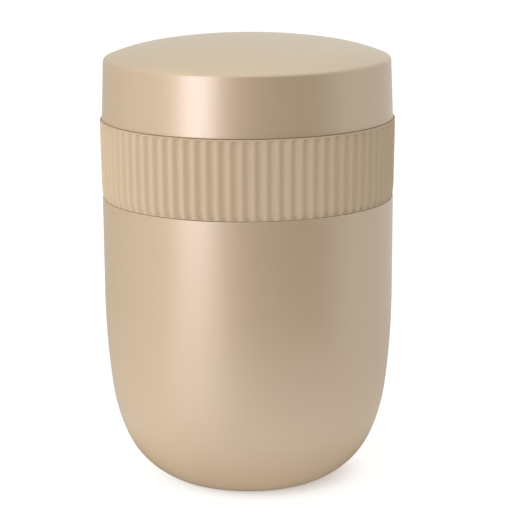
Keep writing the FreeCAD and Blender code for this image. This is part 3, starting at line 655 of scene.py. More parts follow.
class Growth:
    """A geometry node tree with named inputs, used once to grow a plain mesh."""

    def __init__(self, name: str) -> None:
        """Make an empty tree that takes and gives geometry."""
        self.tree = bpy.data.node_groups.new(name, "GeometryNodeTree")
        self.graph = Graph(self.tree)
        for side in ("INPUT", "OUTPUT"):
            self.tree.interface.new_socket("Geometry", in_out=side, socket_type="NodeSocketGeometry")
        self.entry = self.graph.add("NodeGroupInput")
        self.amounts: dict[str, float] = {}

    def amount(self, name: str, value: float) -> Value:
        """Add a named input with its value and return it for use in the tree."""
        kind = "NodeSocketInt" if isinstance(value, int) else "NodeSocketFloat"
        self.tree.interface.new_socket(name, in_out="INPUT", socket_type=kind)
        self.amounts[name] = value
        return self.graph.value(self.entry, name)

    def sizes(self, owner: Any, *fields: str) -> list[Value]:
        """Add an input in metres for each named field of an owner that works in millimetres."""
        return [self.amount(name, getattr(owner, name) * MM) for name in fields]

    def finish(self, geometry: bpy.types.Node, finish: Finish) -> None:
        """End the tree: real geometry with its material."""
        real = self.graph.add("GeometryNodeRealizeInstances", None, {0: geometry})
        inputs = {"Geometry": real, "Material": finish.material()}
        painted = self.graph.add("GeometryNodeSetMaterial", None, inputs)
        self.graph.add("NodeGroupOutput", None, {0: painted})

    def grow(self, start: bpy.types.Mesh) -> bpy.types.Mesh:
        """Run the tree on a mesh.

        Args:
            start: The mesh that the tree is given.

        Returns:
            The result as a plain mesh.
        """
        carrier = bpy.data.objects.new(self.tree.name, start)
        bpy.context.scene.collection.objects.link(carrier)
        modifier = carrier.modifiers.new("growth", "NODES")
        modifier.node_group = self.tree
        for item in self.tree.interface.items_tree:
            if item.name in self.amounts and item.in_out == "INPUT":
                modifier[item.identifier] = self.amounts[item.name]
        graph = bpy.context.evaluated_depsgraph_get()
        mesh = bpy.data.meshes.new_from_object(carrier.evaluated_get(graph))
        carrier.modifiers.remove(modifier)
        bpy.data.objects.remove(carrier)
        return mesh


@dataclass(frozen=True)
class Flutes:
    """Upright grooves round a turned piece, in millimetres.

    Attributes:
        count: Number of grooves.
        depth: Depth of a groove.
        inner: Radius inside which nothing moves.
        low: Height where the grooves begin.
        high: Height where they end.
        fade: Height over which they run out at each end.
        sharpness: How narrow a groove is against the rib beside it.
        phase: Turn of the first rib, in ribs.
    """

    count: int
    depth: float
    inner: float
    low: float
    high: float
    fade: float
    sharpness: float = 1.0
    phase: float = 0.0

    def cut(self, name: str, mesh: bpy.types.Mesh, finish: Finish) -> bpy.types.Mesh:
        """Press the grooves into a mesh with a geometry node tree.

        Args:
            name: Name of the tree.
            mesh: The turned mesh.
            finish: The piece's finish.

        Returns:
            The grooved mesh.
        """
        growth = Growth(name)
        graph = growth.graph
        count = growth.amount("count", self.count)
        sharpness = growth.amount("sharpness", self.sharpness)
        depth, inner, low, high, fade = growth.sizes(self, "depth", "inner", "low", "high", "fade")
        across, back, up = graph.axes(graph.add("GeometryNodeInputPosition"))
        wave = (back.math("ARCTAN2", across) * count + self.phase * FULL_TURN).math("COSINE")
        groove = (0.5 - wave * 0.5) ** sharpness
        below_top = ((high - up) / fade).smooth(0.0, 1.0)
        above_low = ((up - low) / fade).smooth(0.0, 1.0)
        outside = distance(across, back).math("GREATER_THAN", inner)
        push = groove * depth * below_top * above_low * outside * -1.0
        flat = graph.vector(across, back, 0.0)
        outward = graph.add("ShaderNodeVectorMath", {"operation": "NORMALIZE"}, {0: flat})
        offset = graph.add("ShaderNodeVectorMath", {"operation": "SCALE"}, {0: outward, "Scale": push})
        inputs = {"Geometry": growth.entry, "Offset": offset}
        growth.finish(graph.add("GeometryNodeSetPosition", None, inputs), finish)
        return growth.grow(mesh)


@dataclass(frozen=True)
class ThreadBeads:
    """Rolled thread beads on a round wall, in millimetres.

    Attributes:
        wall: Radius of the wall.
        height: How far a bead stands out; negative when it stands inwards.
        width: Width of a bead at the wall.
        low: Height of the centre of a bead's first end.
        lead: Rise of the thread in one turn.
        turns: Length of a bead, in turns.
        starts: Number of beads round the wall.
        delay: Angle of the first bead's start, in degrees.
        tapered: Share of a bead's length over which the curve radius falls at each end; the swept oval
            keeps its full size there, so the ends stay blunt.
    """

    wall: float
    height: float
    width: float
    low: float
    lead: float
    turns: float
    starts: int
    delay: float = 0.0
    tapered: float = 0.12

    def mesh(self, name: str, finish: Finish) -> bpy.types.Mesh:
        """Sweep one bead along its helix and repeat it round the wall.

        Args:
            name: Name of the tree and the mesh.
            finish: The finish of the wall that carries the beads.

        Returns:
            The beads as one mesh.
        """
        growth = Growth(name)
        graph = growth.graph
        wall, width, low = growth.sizes(self, "wall", "width", "low")
        stand_out = growth.amount("stand out", abs(self.height) * MM)
        rise = growth.amount("rise", self.lead * self.turns * MM)
        turns = growth.amount("turns", self.turns)
        starts = growth.amount("starts", self.starts)
        steps = round(self.turns * BEAD_STEPS)
        line = graph.add("GeometryNodeCurvePrimitiveLine", None, {"Start": (0, 0, 0), "End": (1, 0, 0)})
        path = graph.add("GeometryNodeResampleCurve", None, {"Curve": line, "Count": steps})
        along = graph.value(graph.add("GeometryNodeSplineParameter"), "Factor")
        angle = along * turns * FULL_TURN + math.radians(self.delay)
        spot = graph.vector(angle.math("COSINE") * wall, angle.math("SINE") * wall, along * rise + low)
        helix = graph.add("GeometryNodeSetPosition", None, {"Geometry": path, "Position": spot})
        upright = graph.add("GeometryNodeSetCurveNormal", {"mode": "Z_UP"}, {0: helix})
        swell = along.smooth(0.0, self.tapered) * (1.0 - along).smooth(0.0, self.tapered)
        radius = swell * (1.0 - BEAD_END) + BEAD_END
        sized = graph.add("GeometryNodeSetCurveRadius", None, {"Curve": upright, "Radius": radius})
        section = {"Resolution": BEAD_SIDES, "Radius": 1.0}
        circle = graph.add("GeometryNodeCurvePrimitiveCircle", None, section)
        flattened = graph.vector(stand_out, width * 0.5, 1.0)
        oval = graph.add("GeometryNodeTransform", None, {"Geometry": circle, "Scale": flattened})
        sweep = {"Curve": sized, "Profile Curve": oval, "Fill Caps": True}
        swept = graph.add("GeometryNodeCurveToMesh", None, sweep)
        spread = {"Count": starts, "Offset": (0, 0, 0)}
        ring = graph.add("GeometryNodeMeshLine", {"mode": "OFFSET"}, spread)
        number = graph.value(graph.add("GeometryNodeInputIndex"))
        turned = graph.vector(0.0, 0.0, number * FULL_TURN / starts)
        inputs = {"Points": ring, "Instance": swept, "Rotation": turned}
        growth.finish(graph.add("GeometryNodeInstanceOnPoints", None, inputs), finish)
        return growth.grow(bpy.data.meshes.new(name))


# The jar


@dataclass(frozen=True)
class WallCurve:
    """The jar's wall: a nearly straight top and three arcs that meet smoothly.

    Attributes:
        top_radius: Radius at the shoulder.
        top: Height of the shoulder.
        lean: Degrees that the upper wall leans in towards the floor.
        break_height: Height where the first arc starts.
        rounds: Radii of the three arcs, from the top.
        turns: Degrees that the first two arcs turn.
    """

    top_radius: float = 47.26
    top: float = 93.3
    lean: float = 0.18
    break_height: float = 62.1
    rounds: tuple[float, float, float] = (255.7, 60.0, 27.5)
    turns: Span = (7.05, 16.0)

    def knots(self, inset: float) -> tuple[list[Point], Point]:
        """Return the arcs' upper ends, the inset inside the wall, and the last arc's centre."""
        angle = math.radians(self.lean)
        across = self.top_radius - (self.top - self.break_height) * math.tan(angle)
        outward = Vector((math.cos(angle), -math.sin(angle)))
        centre = Vector((across, self.break_height)) - outward * self.rounds[0]
        knots = [tuple(centre + outward * (self.rounds[0] - inset))]
        for turn, radius, following in zip(self.turns, self.rounds, self.rounds[1:]):
            angle += math.radians(turn)
            outward = Vector((math.cos(angle), -math.sin(angle)))
            knots.append(tuple(centre + outward * (radius - inset)))
            centre += outward * (radius - following)
        return knots, tuple(centre)

    def radius_at(self, height: float, inset: float) -> float:
        """Return the radius of the last arc at a height."""
        _, (across, up) = self.knots(inset)
        return across + math.sqrt((self.rounds[2] - inset) ** 2 - (up - height) ** 2)


@dataclass(frozen=True)
class Jar:
    """The double-walled jar on its soft foot. Sizes are in millimetres."""

    wall: WallCurve = WallCurve()
    sheet: float = 0.6
    hem: float = 0.6
    hem_depth: float = 1.8
    hem_radius: float = 26.4
    shoulder_round: float = 0.22
    neck_radius: float = 42.0
    neck_root: float = 0.8
    rim: float = 112.0
    rim_round: float = 0.28
    vessel_sheet: float = 0.5
    bore_radius: float = 38.9
    cavity_radius: float = 43.1
    flare_top: float = 91.0
    cavity_floor: float = 8.5
    foot_play: float = 0.3
    foot_land: float = 16.0
    foot_hollow: float = 0.5
    hem_edge: float = 0.25
    foot_edge: float = 0.3
    neck_beads: ThreadBeads = ThreadBeads(42.0, 1.0, 2.4, 98.5, 12.0, 0.42, 3)
    bore_beads: ThreadBeads = ThreadBeads(38.9, -0.8, 2.2, 103.2, 8.0, 0.45, 2)

    def build(self) -> None:
        """Make the jar's visible pieces and finish its hidden ones."""
        self.painted_wall()
        self.food_vessel()
        self.soft_foot()
        repaint(STEEL, "base_plate", "getter_strap")
        repaint(PELLET_METAL, "getter")
        repaint(SEAL_GLASS, "vacuum_seal")

    def painted_wall(self) -> None:
        """Make the painted outer wall, bare steel above its shoulder."""
        wall, sheet = self.wall, self.sheet
        (upper, lower, foot), _ = wall.knots(0.0)
        (inner_upper, inner_lower, inner_foot), _ = wall.knots(sheet)
        belly, haunch, bowl = wall.rounds
        shoulder, top = wall.top, wall.top_radius
        root = self.neck_root
        hem_top = self.hem + self.hem_depth
        outline = Outline(wall.radius_at(self.hem, 0.0), self.hem)
        outline.arc(*foot, bowl).arc(*lower, haunch).arc(*upper, belly)
        outline.line(top, shoulder - self.shoulder_round)
        outline.arc(top - self.shoulder_round, shoulder, self.shoulder_round)
        outline.line(self.neck_radius + root, shoulder)
        outline.arc(self.neck_radius, shoulder + root, root, centre_left=False)
        outline.line(self.neck_radius, self.rim - sheet)
        outline.line(self.neck_radius - sheet, self.rim - sheet)
        outline.line(self.neck_radius - sheet, shoulder + root)
        outline.arc(self.neck_radius + root, shoulder - sheet, root + sheet)
        outline.line(top - sheet, shoulder - sheet).line(*inner_upper)
        outline.arc(*inner_lower, belly - sheet, centre_left=False)
        outline.arc(*inner_foot, haunch - sheet, centre_left=False)
        outline.arc(wall.radius_at(hem_top, sheet), hem_top, bowl - sheet, centre_left=False)
        outline.line(self.hem_radius, hem_top).line(self.hem_radius, self.hem, self.hem_edge)
        turned = lathe("painted_wall", outline, WALL_SEGMENTS)
        mesh = joined("painted_wall", turned, self.neck_beads.mesh("neck_beads", STEEL))
        stand("painted_wall", mesh, COAT, Body.JAR, "outer_shell")
        mesh.materials.append(STEEL.material())
        bare = (shoulder + root) * MM
        for face in mesh.polygons:
            face.material_index = int(face.center.z > bare)

    def food_vessel(self) -> None:
        """Make the steel vessel that holds the food, with the rim and the inner thread."""
        sheet, bore, cavity = self.vessel_sheet, self.bore_radius, self.cavity_radius
        gap = self.wall.top_radius - cavity
        inner, inner_corner, inner_floor = self._vessel_corner(gap)
        outer, outer_corner, outer_floor = self._vessel_corner(gap - sheet)
        diagonal = math.sqrt(0.5)
        flare = (cavity - bore) / (2 * (1 - diagonal))
        reach = flare * diagonal
        middle, skew = (bore + cavity) / 2, sheet * diagonal
        lip = self.rim - self.sheet
        outline = Outline(0, self.cavity_floor - sheet).line(0, self.cavity_floor)
        outline.line(*inner_floor).arc(*inner[1], inner_corner)
        outline.arc(*inner[0], self.wall.rounds[0] - gap)
        outline.line(cavity, self.flare_top - 2 * reach)
        outline.arc(middle, self.flare_top - reach, flare)
        outline.arc(bore, self.flare_top, flare, centre_left=False)
        outline.line(bore, self.rim - self.rim_round)
        outline.arc(bore + self.rim_round, self.rim, self.rim_round, centre_left=False)
        outline.line(self.neck_radius - self.rim_round, self.rim)
        outline.arc(self.neck_radius, self.rim - self.rim_round, self.rim_round, centre_left=False)
        outline.line(self.neck_radius, lip).line(bore + sheet, lip).line(bore + sheet, self.flare_top)
        outline.arc(middle + skew, self.flare_top - reach + skew, flare - sheet)
        outline.arc(cavity + sheet, self.flare_top - 2 * reach, flare + sheet, centre_left=False)
        outline.line(*outer[0]).arc(*outer[1], self.wall.rounds[0] - gap + sheet, centre_left=False)
        outline.arc(*outer_floor, outer_corner, centre_left=False)
        turned = lathe("food_vessel", outline)
        mesh = joined("food_vessel", turned, self.bore_beads.mesh("bore_beads", STEEL))
        stand("food_vessel", mesh, STEEL, Body.JAR, "inner_vessel")

    def _vessel_corner(self, inset: float) -> tuple[list[Point], float, Point]:
        """Return the vessel's wall knots, its corner's radius and where its flat floor starts."""
        (upper, lower, _), _ = self.wall.knots(inset)
        belly = math.radians(self.wall.lean + self.wall.turns[0])
        floor = self.cavity_floor - self.wall.top_radius + self.cavity_radius + inset
        corner = (lower[1] - floor) / (1 - math.sin(belly))
        return [upper, lower], corner, (lower[0] - corner * math.cos(belly), floor)

    def soft_foot(self) -> None:
        """Make the silicone foot with its contact ring."""
        edge = self.hem_radius - self.foot_play
        hollow = self.foot_hollow
        outline = Outline(0, hollow).line(self.foot_land, hollow, self.foot_edge)
        outline.line(self.foot_land + hollow, 0, self.foot_edge).line(edge - hollow, 0)
        outline.arc(edge, hollow, hollow).line(edge, self.hem + self.hem_depth)
        outline.line(0, self.hem + self.hem_depth)
        mesh = lathe("soft_foot", outline, FOOT_SEGMENTS)
        stand("soft_foot", mesh, FOOT_RUBBER, Body.JAR, "foot_pad")


# The lid


@dataclass(frozen=True)
class Lid:
    """The domed lid over its moulded bowl, with the grip sleeve. Sizes are in millimetres."""

    crown: float = 145.0
    sheet: float = 0.6
    skirt_radius: float = 45.9
    skirt_bottom: float = 94.0
    step: float = 118.8
    step_round: float = 0.28
    lean: float = 2.12
    shoulder: Point = (46.377, 137.213)
    corner_round: float = 1.5
    corner_turn: float = 65.62
    brow_round: float = 62.7
    brow_turn: float = 12.58
    liner_radius: float = 45.2
    liner_wall: float = 1.6
    liner_bottom: float = 95.1
    ceiling: float = 136.0
    liner_corner: float = 3.0
    edge: float = 0.35
    sleeve_edge: float = 0.25
    sleeve_bore: float = 45.95
    sleeve_top: Point = (47.75, 118.73)
    sleeve_low: Point = (47.47, 98.6)
    sleeve_hem: Point = (47.03, 93.85)
    sleeve_bottom: Point = (46.95, 93.43)
    sleeve_low_round: float = 24.0
    rib_steps: int = 16
    row_count: int = 24
    row_crowding: float = 0.5
    row_reach: float = 0.985
    row_length: float = 12.0
    ribs: Flutes = Flutes(80, 0.75, 46.0, 93.43, 118.4, 0.4, phase=0.5)
    liner_beads: ThreadBeads = ThreadBeads(43.6, -1.1, 2.4, 97.2, 12.0, 0.33, 3, 21.0)
    seal_low: Point = (43.6, 93.6)
    seal_high: Point = (45.0, 94.8)

    def build(self) -> None:
        """Make the lid's pieces; its seal ring rises with it but doesn't turn."""
        self.dome()
        self.bowl()
        self.grip_sleeve()
        seal_ring("lid_seal_ring", self.seal_low, self.seal_high, Body.LID_SEAL, "lid_gasket")
        repaint(FOAM, "lid_foam")

    def _profile(self, inset: float) -> tuple[Point, Point, Point, float]:
        """Return the corner's two ends, the dome's edge and the dome's radius for an inset."""
        lean = math.radians(self.lean)
        corner = lean + math.radians(self.corner_turn)
        brow = corner + math.radians(self.brow_turn)
        out = [Vector((math.cos(angle), math.sin(angle))) for angle in (lean, corner, brow)]
        centre = Vector(self.shoulder) - out[0] * self.corner_round
        brow_centre = centre + out[1] * (self.corner_round - self.brow_round)
        side = centre + out[0] * (self.corner_round - inset)
        top = centre + out[1] * (self.corner_round - inset)
        edge = brow_centre + out[2] * (self.brow_round - inset)
        rise = self.crown - inset - edge.y
        return tuple(side), tuple(top), tuple(edge), (edge.x**2 + rise**2) / (2 * rise)

    def _side_at(self, height: float, inset: float) -> float:
        """Return the radius of the leaning side at a height."""
        across, up = self.shoulder
        return across - inset + (up - height) * math.tan(math.radians(self.lean))

    def dome(self) -> None:
        """Make the painted steel shell of the lid."""
        side, top, edge, dome = self._profile(0.0)
        inner_side, inner_top, inner_edge, inner_dome = self._profile(self.sheet)
        sheet, step, above = self.sheet, self.step, self.step + self.step_round
        outline = Outline(self.skirt_radius, self.skirt_bottom).line(self.skirt_radius, step)
        outline.line(self._side_at(above, 0.0) - self.step_round, step)
        outline.arc(self._side_at(above, 0.0), above, self.step_round).line(*side)
        outline.arc(*top, self.corner_round).arc(*edge, self.brow_round).arc(0, self.crown, dome)
        outline.line(0, self.crown - sheet).arc(*inner_edge, inner_dome, centre_left=False)
        outline.arc(*inner_top, self.brow_round - sheet, centre_left=False)
        outline.arc(*inner_side, self.corner_round - sheet, centre_left=False)
        outline.line(self._side_at(step + sheet, sheet), step + sheet)
        outline.line(self.skirt_radius - sheet, step + sheet)
        outline.line(self.skirt_radius - sheet, self.skirt_bottom)
        mesh = lathe("lid_dome", outline, WALL_SEGMENTS)
        stand("lid_dome", mesh, COAT, Body.LID, "lid_shell")

    def bowl(self) -> None:
        """Make the moulded liner: a bowl when the lid is turned over, with the lid's thread."""
        wall, corner = self.liner_wall, self.liner_corner
        inside = self.liner_radius - wall
        top = self.ceiling + wall
        outline = Outline(inside, self.liner_bottom, self.edge)
        outline.line(self.liner_radius, self.liner_bottom)
        outline.line(self.liner_radius, top - corner - wall)
        outline.arc(self.liner_radius - corner - wall, top, corner + wall)
        outline.line(0, top).line(0, self.ceiling).line(inside - corner, self.ceiling)
        outline.arc(inside, self.ceiling - corner, corner, centre_left=False)
        turned = lathe("lid_bowl", outline)
        mesh = joined("lid_bowl", turned, self.liner_beads.mesh("liner_beads", LINER_PLASTIC))
        stand("lid_bowl", mesh, LINER_PLASTIC, Body.LID, "lid_liner")

    def grip_sleeve(self) -> None:
        """Make the silicone sleeve and press its grooves in."""
        across, up = self.sleeve_top
        outline = Outline(self.sleeve_bore, self.sleeve_bottom[1])
        outline.line(*self.sleeve_bottom).line(*self.sleeve_hem)
        outline.arc(*self.sleeve_low, self.sleeve_low_round)
        span = Vector(self.sleeve_top) - Vector(self.sleeve_low)
        for row in range(1, self.row_count):
            share = (row / self.row_count) ** self.row_crowding
            outline.line(*(Vector(self.sleeve_low) + span * share * self.row_reach))
        edge = self.sleeve_edge
        outline.line(across, up - edge).arc(across - edge, up, edge)
        outline.line(self.sleeve_bore, up)
        turned = lathe("grip_sleeve", outline, self.ribs.count * self.rib_steps, self.row_length)
        mesh = self.ribs.cut("sleeve_ribs", turned, SLEEVE_RUBBER)
        stand("grip_sleeve", mesh, SLEEVE_RUBBER, Body.LID, "ribbed_sleeve")


# The stopper


@dataclass(frozen=True)
class Stopper:
    """The screw stopper with its finger recess. Sizes are in millimetres."""

    plug_radius: float = 37.6
    plug_wall: float = 1.8
    plug_bottom: float = 98.0
    flange_bottom: float = 113.6
    flange_radius: float = 40.2
    top: float = 117.8
    collar: float = 33.0
    collar_wall: float = 2.6
    recess_floor: float = 110.0
    cover: float = 1.6
    well_radius: float = 10.2
    well_floor: float = 106.0
    well_top: float = 116.4
    grip_width: float = 9.0
    grip_top: float = 116.4
    edge: float = 0.6
    tube_edge: float = 0.3
    flange_edge: float = 0.4
    lip_edge: float = 1.0
    recess_edge: float = 1.2
    well_edge: float = 0.8
    well_lip: float = 0.5
    guide_edge: float = 0.2
    grip_edge: float = 1.2
    grip_steps: int = 6
    grip_profile: float = 0.5
    tube_bore: float = 3.4
    tube_wall: float = 1.6
    stem_guide: float = 2.05
    scallops: Flutes = Flutes(24, 0.5, 39.2, 0.0, 200.0, 1.0, sharpness=10.0)
    scallop_steps: int = 20
    plug_beads: ThreadBeads = ThreadBeads(37.6, 0.9, 2.2, 101.2, 8.0, 0.4, 2)
    seal_low: Point = (38.0, 112.3)
    seal_high: Point = (40.4, 113.3)

    def build(self) -> None:
        """Make the stopper's pieces; its seal ring rises with it but doesn't turn."""
        self.plug()
        self.cover_plate()
        seal_ring("stopper_seal_ring", self.seal_low, self.seal_high, Body.STOPPER_SEAL, "stopper_gasket")
        repaint(FOAM, "stopper_foam")

    def plug(self) -> None:
        """Make the lower half: the plug with its thread and the vent's tube."""
        wall = self.plug_wall
        tube_top = self.well_floor - self.cover
        tube = self.tube_bore + self.tube_wall
        outline = Outline(self.tube_bore, self.plug_bottom, self.tube_edge)
        outline.line(self.plug_radius, self.plug_bottom, self.edge)
        outline.line(self.plug_radius, self.flange_bottom, 0.0)
        outline.line(self.plug_radius - wall, self.flange_bottom, 0.0)
        outline.line(self.plug_radius - wall, self.plug_bottom + wall)
        outline.line(tube, self.plug_bottom + wall).line(tube, tube_top, 0.0)
        outline.line(self.tube_bore, tube_top, 0.0)
        turned = lathe("stopper_plug", outline)
        mesh = joined("stopper_plug", turned, self.plug_beads.mesh("plug_beads", STOPPER_PLASTIC))
        stand("stopper_plug", mesh, STOPPER_PLASTIC, Body.STOPPER, "stopper_base")

    def cover_plate(self) -> None:
        """Make the upper half: recess, grips, well and scalloped flange."""
        cover, floor, top = self.cover, self.recess_floor, self.top
        well = self.well_radius + cover
        collar = self.collar + self.collar_wall
        outline = Outline(self.stem_guide, self.well_floor - cover)
        outline.line(well, self.well_floor - cover).line(well, floor - cover)
        outline.line(collar, floor - cover).line(collar, self.flange_bottom)
        outline.line(self.flange_radius, self.flange_bottom, self.flange_edge)
        outline.line(self.flange_radius, top, self.lip_edge).line(self.collar, top, self.lip_edge)
        outline.line(self.collar, floor, self.recess_edge).line(well, floor, self.recess_edge)
        outline.line(well, self.well_top, self.well_edge)
        outline.line(self.well_radius, self.well_top, self.well_lip)
        outline.line(self.well_radius, self.well_floor, self.well_edge)
        outline.line(self.stem_guide, self.well_floor, self.guide_edge)
        turned = lathe("stopper_cover", outline, self.scallops.count * self.scallop_steps)
        scalloped = self.scallops.cut("flange_scallops", turned, STOPPER_PLASTIC)
        mesh = joined("stopper_cover", scalloped, self._grip(1), self._grip(-1))
        stand("stopper_cover", mesh, STOPPER_PLASTIC, Body.STOPPER, "stopper_top")

    def _grip(self, side: int) -> bpy.types.Mesh:
        """Return one rounded bar across the recess, in front of the well or behind it."""
        sunk = self.cover / 2
        near = self.well_radius + sunk
        far = self.collar + sunk
        high = self.grip_top - self.recess_floor + sunk
        shape = bmesh.new()
        bmesh.ops.create_cube(shape, size=1.0)
        for corner in shape.verts:
            along, back, up = corner.co
            taper = 0.5 + up
            across = along * (self.grip_width - taper)
            reach = side * (near + (far - near) * (0.5 + back))
            corner.co = Vector((across, reach, self.recess_floor - sunk + high * taper)) * MM
        floor = self.recess_floor * MM
        upper = [edge for edge in shape.edges if all(point.co.z > floor for point in edge.verts)]
        bmesh.ops.bevel(
            shape,
            geom=upper,
            offset=self.grip_edge * MM,
            segments=self.grip_steps,
            affect="EDGES",
            profile=self.grip_profile,
        )
        bmesh.ops.recalc_face_normals(shape, faces=shape.faces)
        return as_mesh("grip", shape)


@dataclass(frozen=True)
class Vent:
    """The steam vent: button, stem, seal, clip and spring. Sizes are in millimetres."""

    radius: float = 9.9
    top: float = 117.6
    bottom: float = 110.6
    wall: float = 1.3
    crown: float = 1.6
    socket: float = 3.4
    socket_bottom: float = 112.5
    dish_radius: float = 6.5
    dish_depth: float = 0.5
    stem_radius: float = 2.0
    stem_bottom: float = 94.4
    stem_top: float = 115.0
    groove_radius: float = 1.4
    clip: Point = (95.15, 95.85)
    seal_radius: float = 6.6
    seal: Point = (96.0, 97.7)
    coil_radius: float = 6.1
    wire: float = 0.9
    coil_turns: float = 5.5
    coil: Point = (106.45, 115.25)
    travel: float = 2.5
    fine_edge: float = 0.2
    seal_edge: float = 0.25
    edge: float = 0.3
    inner_edge: float = 0.4
    crown_edge: float = 1.2

    def build(self) -> None:
        """Make the vent's pieces."""
        self.button()
        self.stem()
        self.seal_disc()
        self.spring()
        repaint(STEEL, "vent_clip")

    def button(self) -> None:
        """Make the button with its finger dish."""
        under = self.top - self.crown
        skirt = self.radius - self.wall
        sag, dish = self.dish_depth, self.dish_radius
        outline = Outline(self.stem_radius, self.socket_bottom)
        outline.line(self.socket, self.socket_bottom, self.fine_edge)
        outline.line(self.socket, under, self.inner_edge).line(skirt, under, self.inner_edge)
        outline.line(skirt, self.bottom, self.fine_edge).line(self.radius, self.bottom, self.edge)
        outline.line(self.radius, self.top, self.crown_edge).line(dish, self.top)
        outline.arc(0, self.top - sag, (dish**2 + sag**2) / (2 * sag), centre_left=False)
        outline.line(0, self.stem_top).line(self.stem_radius, self.stem_top)
        mesh = lathe("vent_cap", outline, SMALL_SEGMENTS)
        stand("vent_cap", mesh, VENT_PLASTIC, Body.VENT, "vent_button")

    def stem(self) -> None:
        """Make the steel stem with the groove of its clip."""
        low, high = self.clip
        outline = Outline(0, self.stem_bottom).line(self.stem_radius, self.stem_bottom, self.edge)
        outline.line(self.stem_radius, low).line(self.groove_radius, low).line(self.groove_radius, high)
        outline.line(self.stem_radius, high).line(self.stem_radius, self.stem_top)
        outline.line(0, self.stem_top)
        mesh = lathe("vent_rod", outline, ROD_SEGMENTS)
        stand("vent_rod", mesh, STEEL, Body.VENT, "vent_stem")

    def seal_disc(self) -> None:
        """Make the silicone seal that closes the tube from below."""
        low, high = self.seal
        middle = (low + high) / 2
        outline = Outline(self.stem_radius, low).line(self.seal_radius, low, self.seal_edge)
        outline.line(self.seal_radius, middle, self.fine_edge)
        outline.line(self.seal_radius - high + middle, high, self.fine_edge)
        outline.line(self.stem_radius, high)
        mesh = lathe("vent_seal", outline, SMALL_SEGMENTS)
        stand("vent_seal", mesh, SEAL_RUBBER, Body.VENT, "vent_plug")

    def spring(self) -> None:
        """Make the coil spring."""
        low, high = self.coil
        pitch = (high - low) / self.coil_turns
        coil = ThreadBeads(
            self.coil_radius, self.wire / 2, self.wire, low, pitch, self.coil_turns, 1, tapered=0.0
        )
        mesh = coil.mesh("vent_coil", STEEL)
        piece = stand("vent_coil", mesh, STEEL, Body.STOPPER, "vent_spring")
        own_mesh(piece)


# The studio


@dataclass(frozen=True)
class Softbox:
    """A soft rectangular lamp that faces the jar.

    Attributes:
        name: Name of the lamp.
        azimuth: Degrees to the right of the camera, seen from the jar.
        distance: Metres from the jar's axis.
        height: Height of its centre, in metres.
        size: Width and height, in metres.
        radiance: Brightness of its face, where 1 is white.
        colour: Its tint.
        mirrored: Whether glossy surfaces show it.
    """

    name: str
    azimuth: float
    distance: float
    height: float
    size: Span
    radiance: float
    colour: Colour = (1.0, 1.0, 1.0)
    mirrored: bool = True

    def hang(self) -> None:
        """Hang the lamp."""
        lamp = bpy.data.lights.new(self.name, "AREA")
        lamp.shape = "RECTANGLE"
        lamp.size, lamp.size_y = self.size
        lamp.color = self.colour
        lamp.energy = self.radiance * math.pi * self.size[0] * self.size[1]
        holder = bpy.data.objects.new(self.name, lamp)
        bearing = math.radians(self.azimuth)
        place = Vector((math.sin(bearing), -math.cos(bearing), 0.0)) * self.distance
        place.z = self.height
        holder.location = place
        aim = Vector((0.0, 0.0, Studio.target_height)) - place
        holder.rotation_euler = aim.to_track_quat("-Z", "Y").to_euler()
        holder.visible_camera = False
        holder.visible_glossy = self.mirrored
        bpy.context.scene.collection.objects.link(holder)


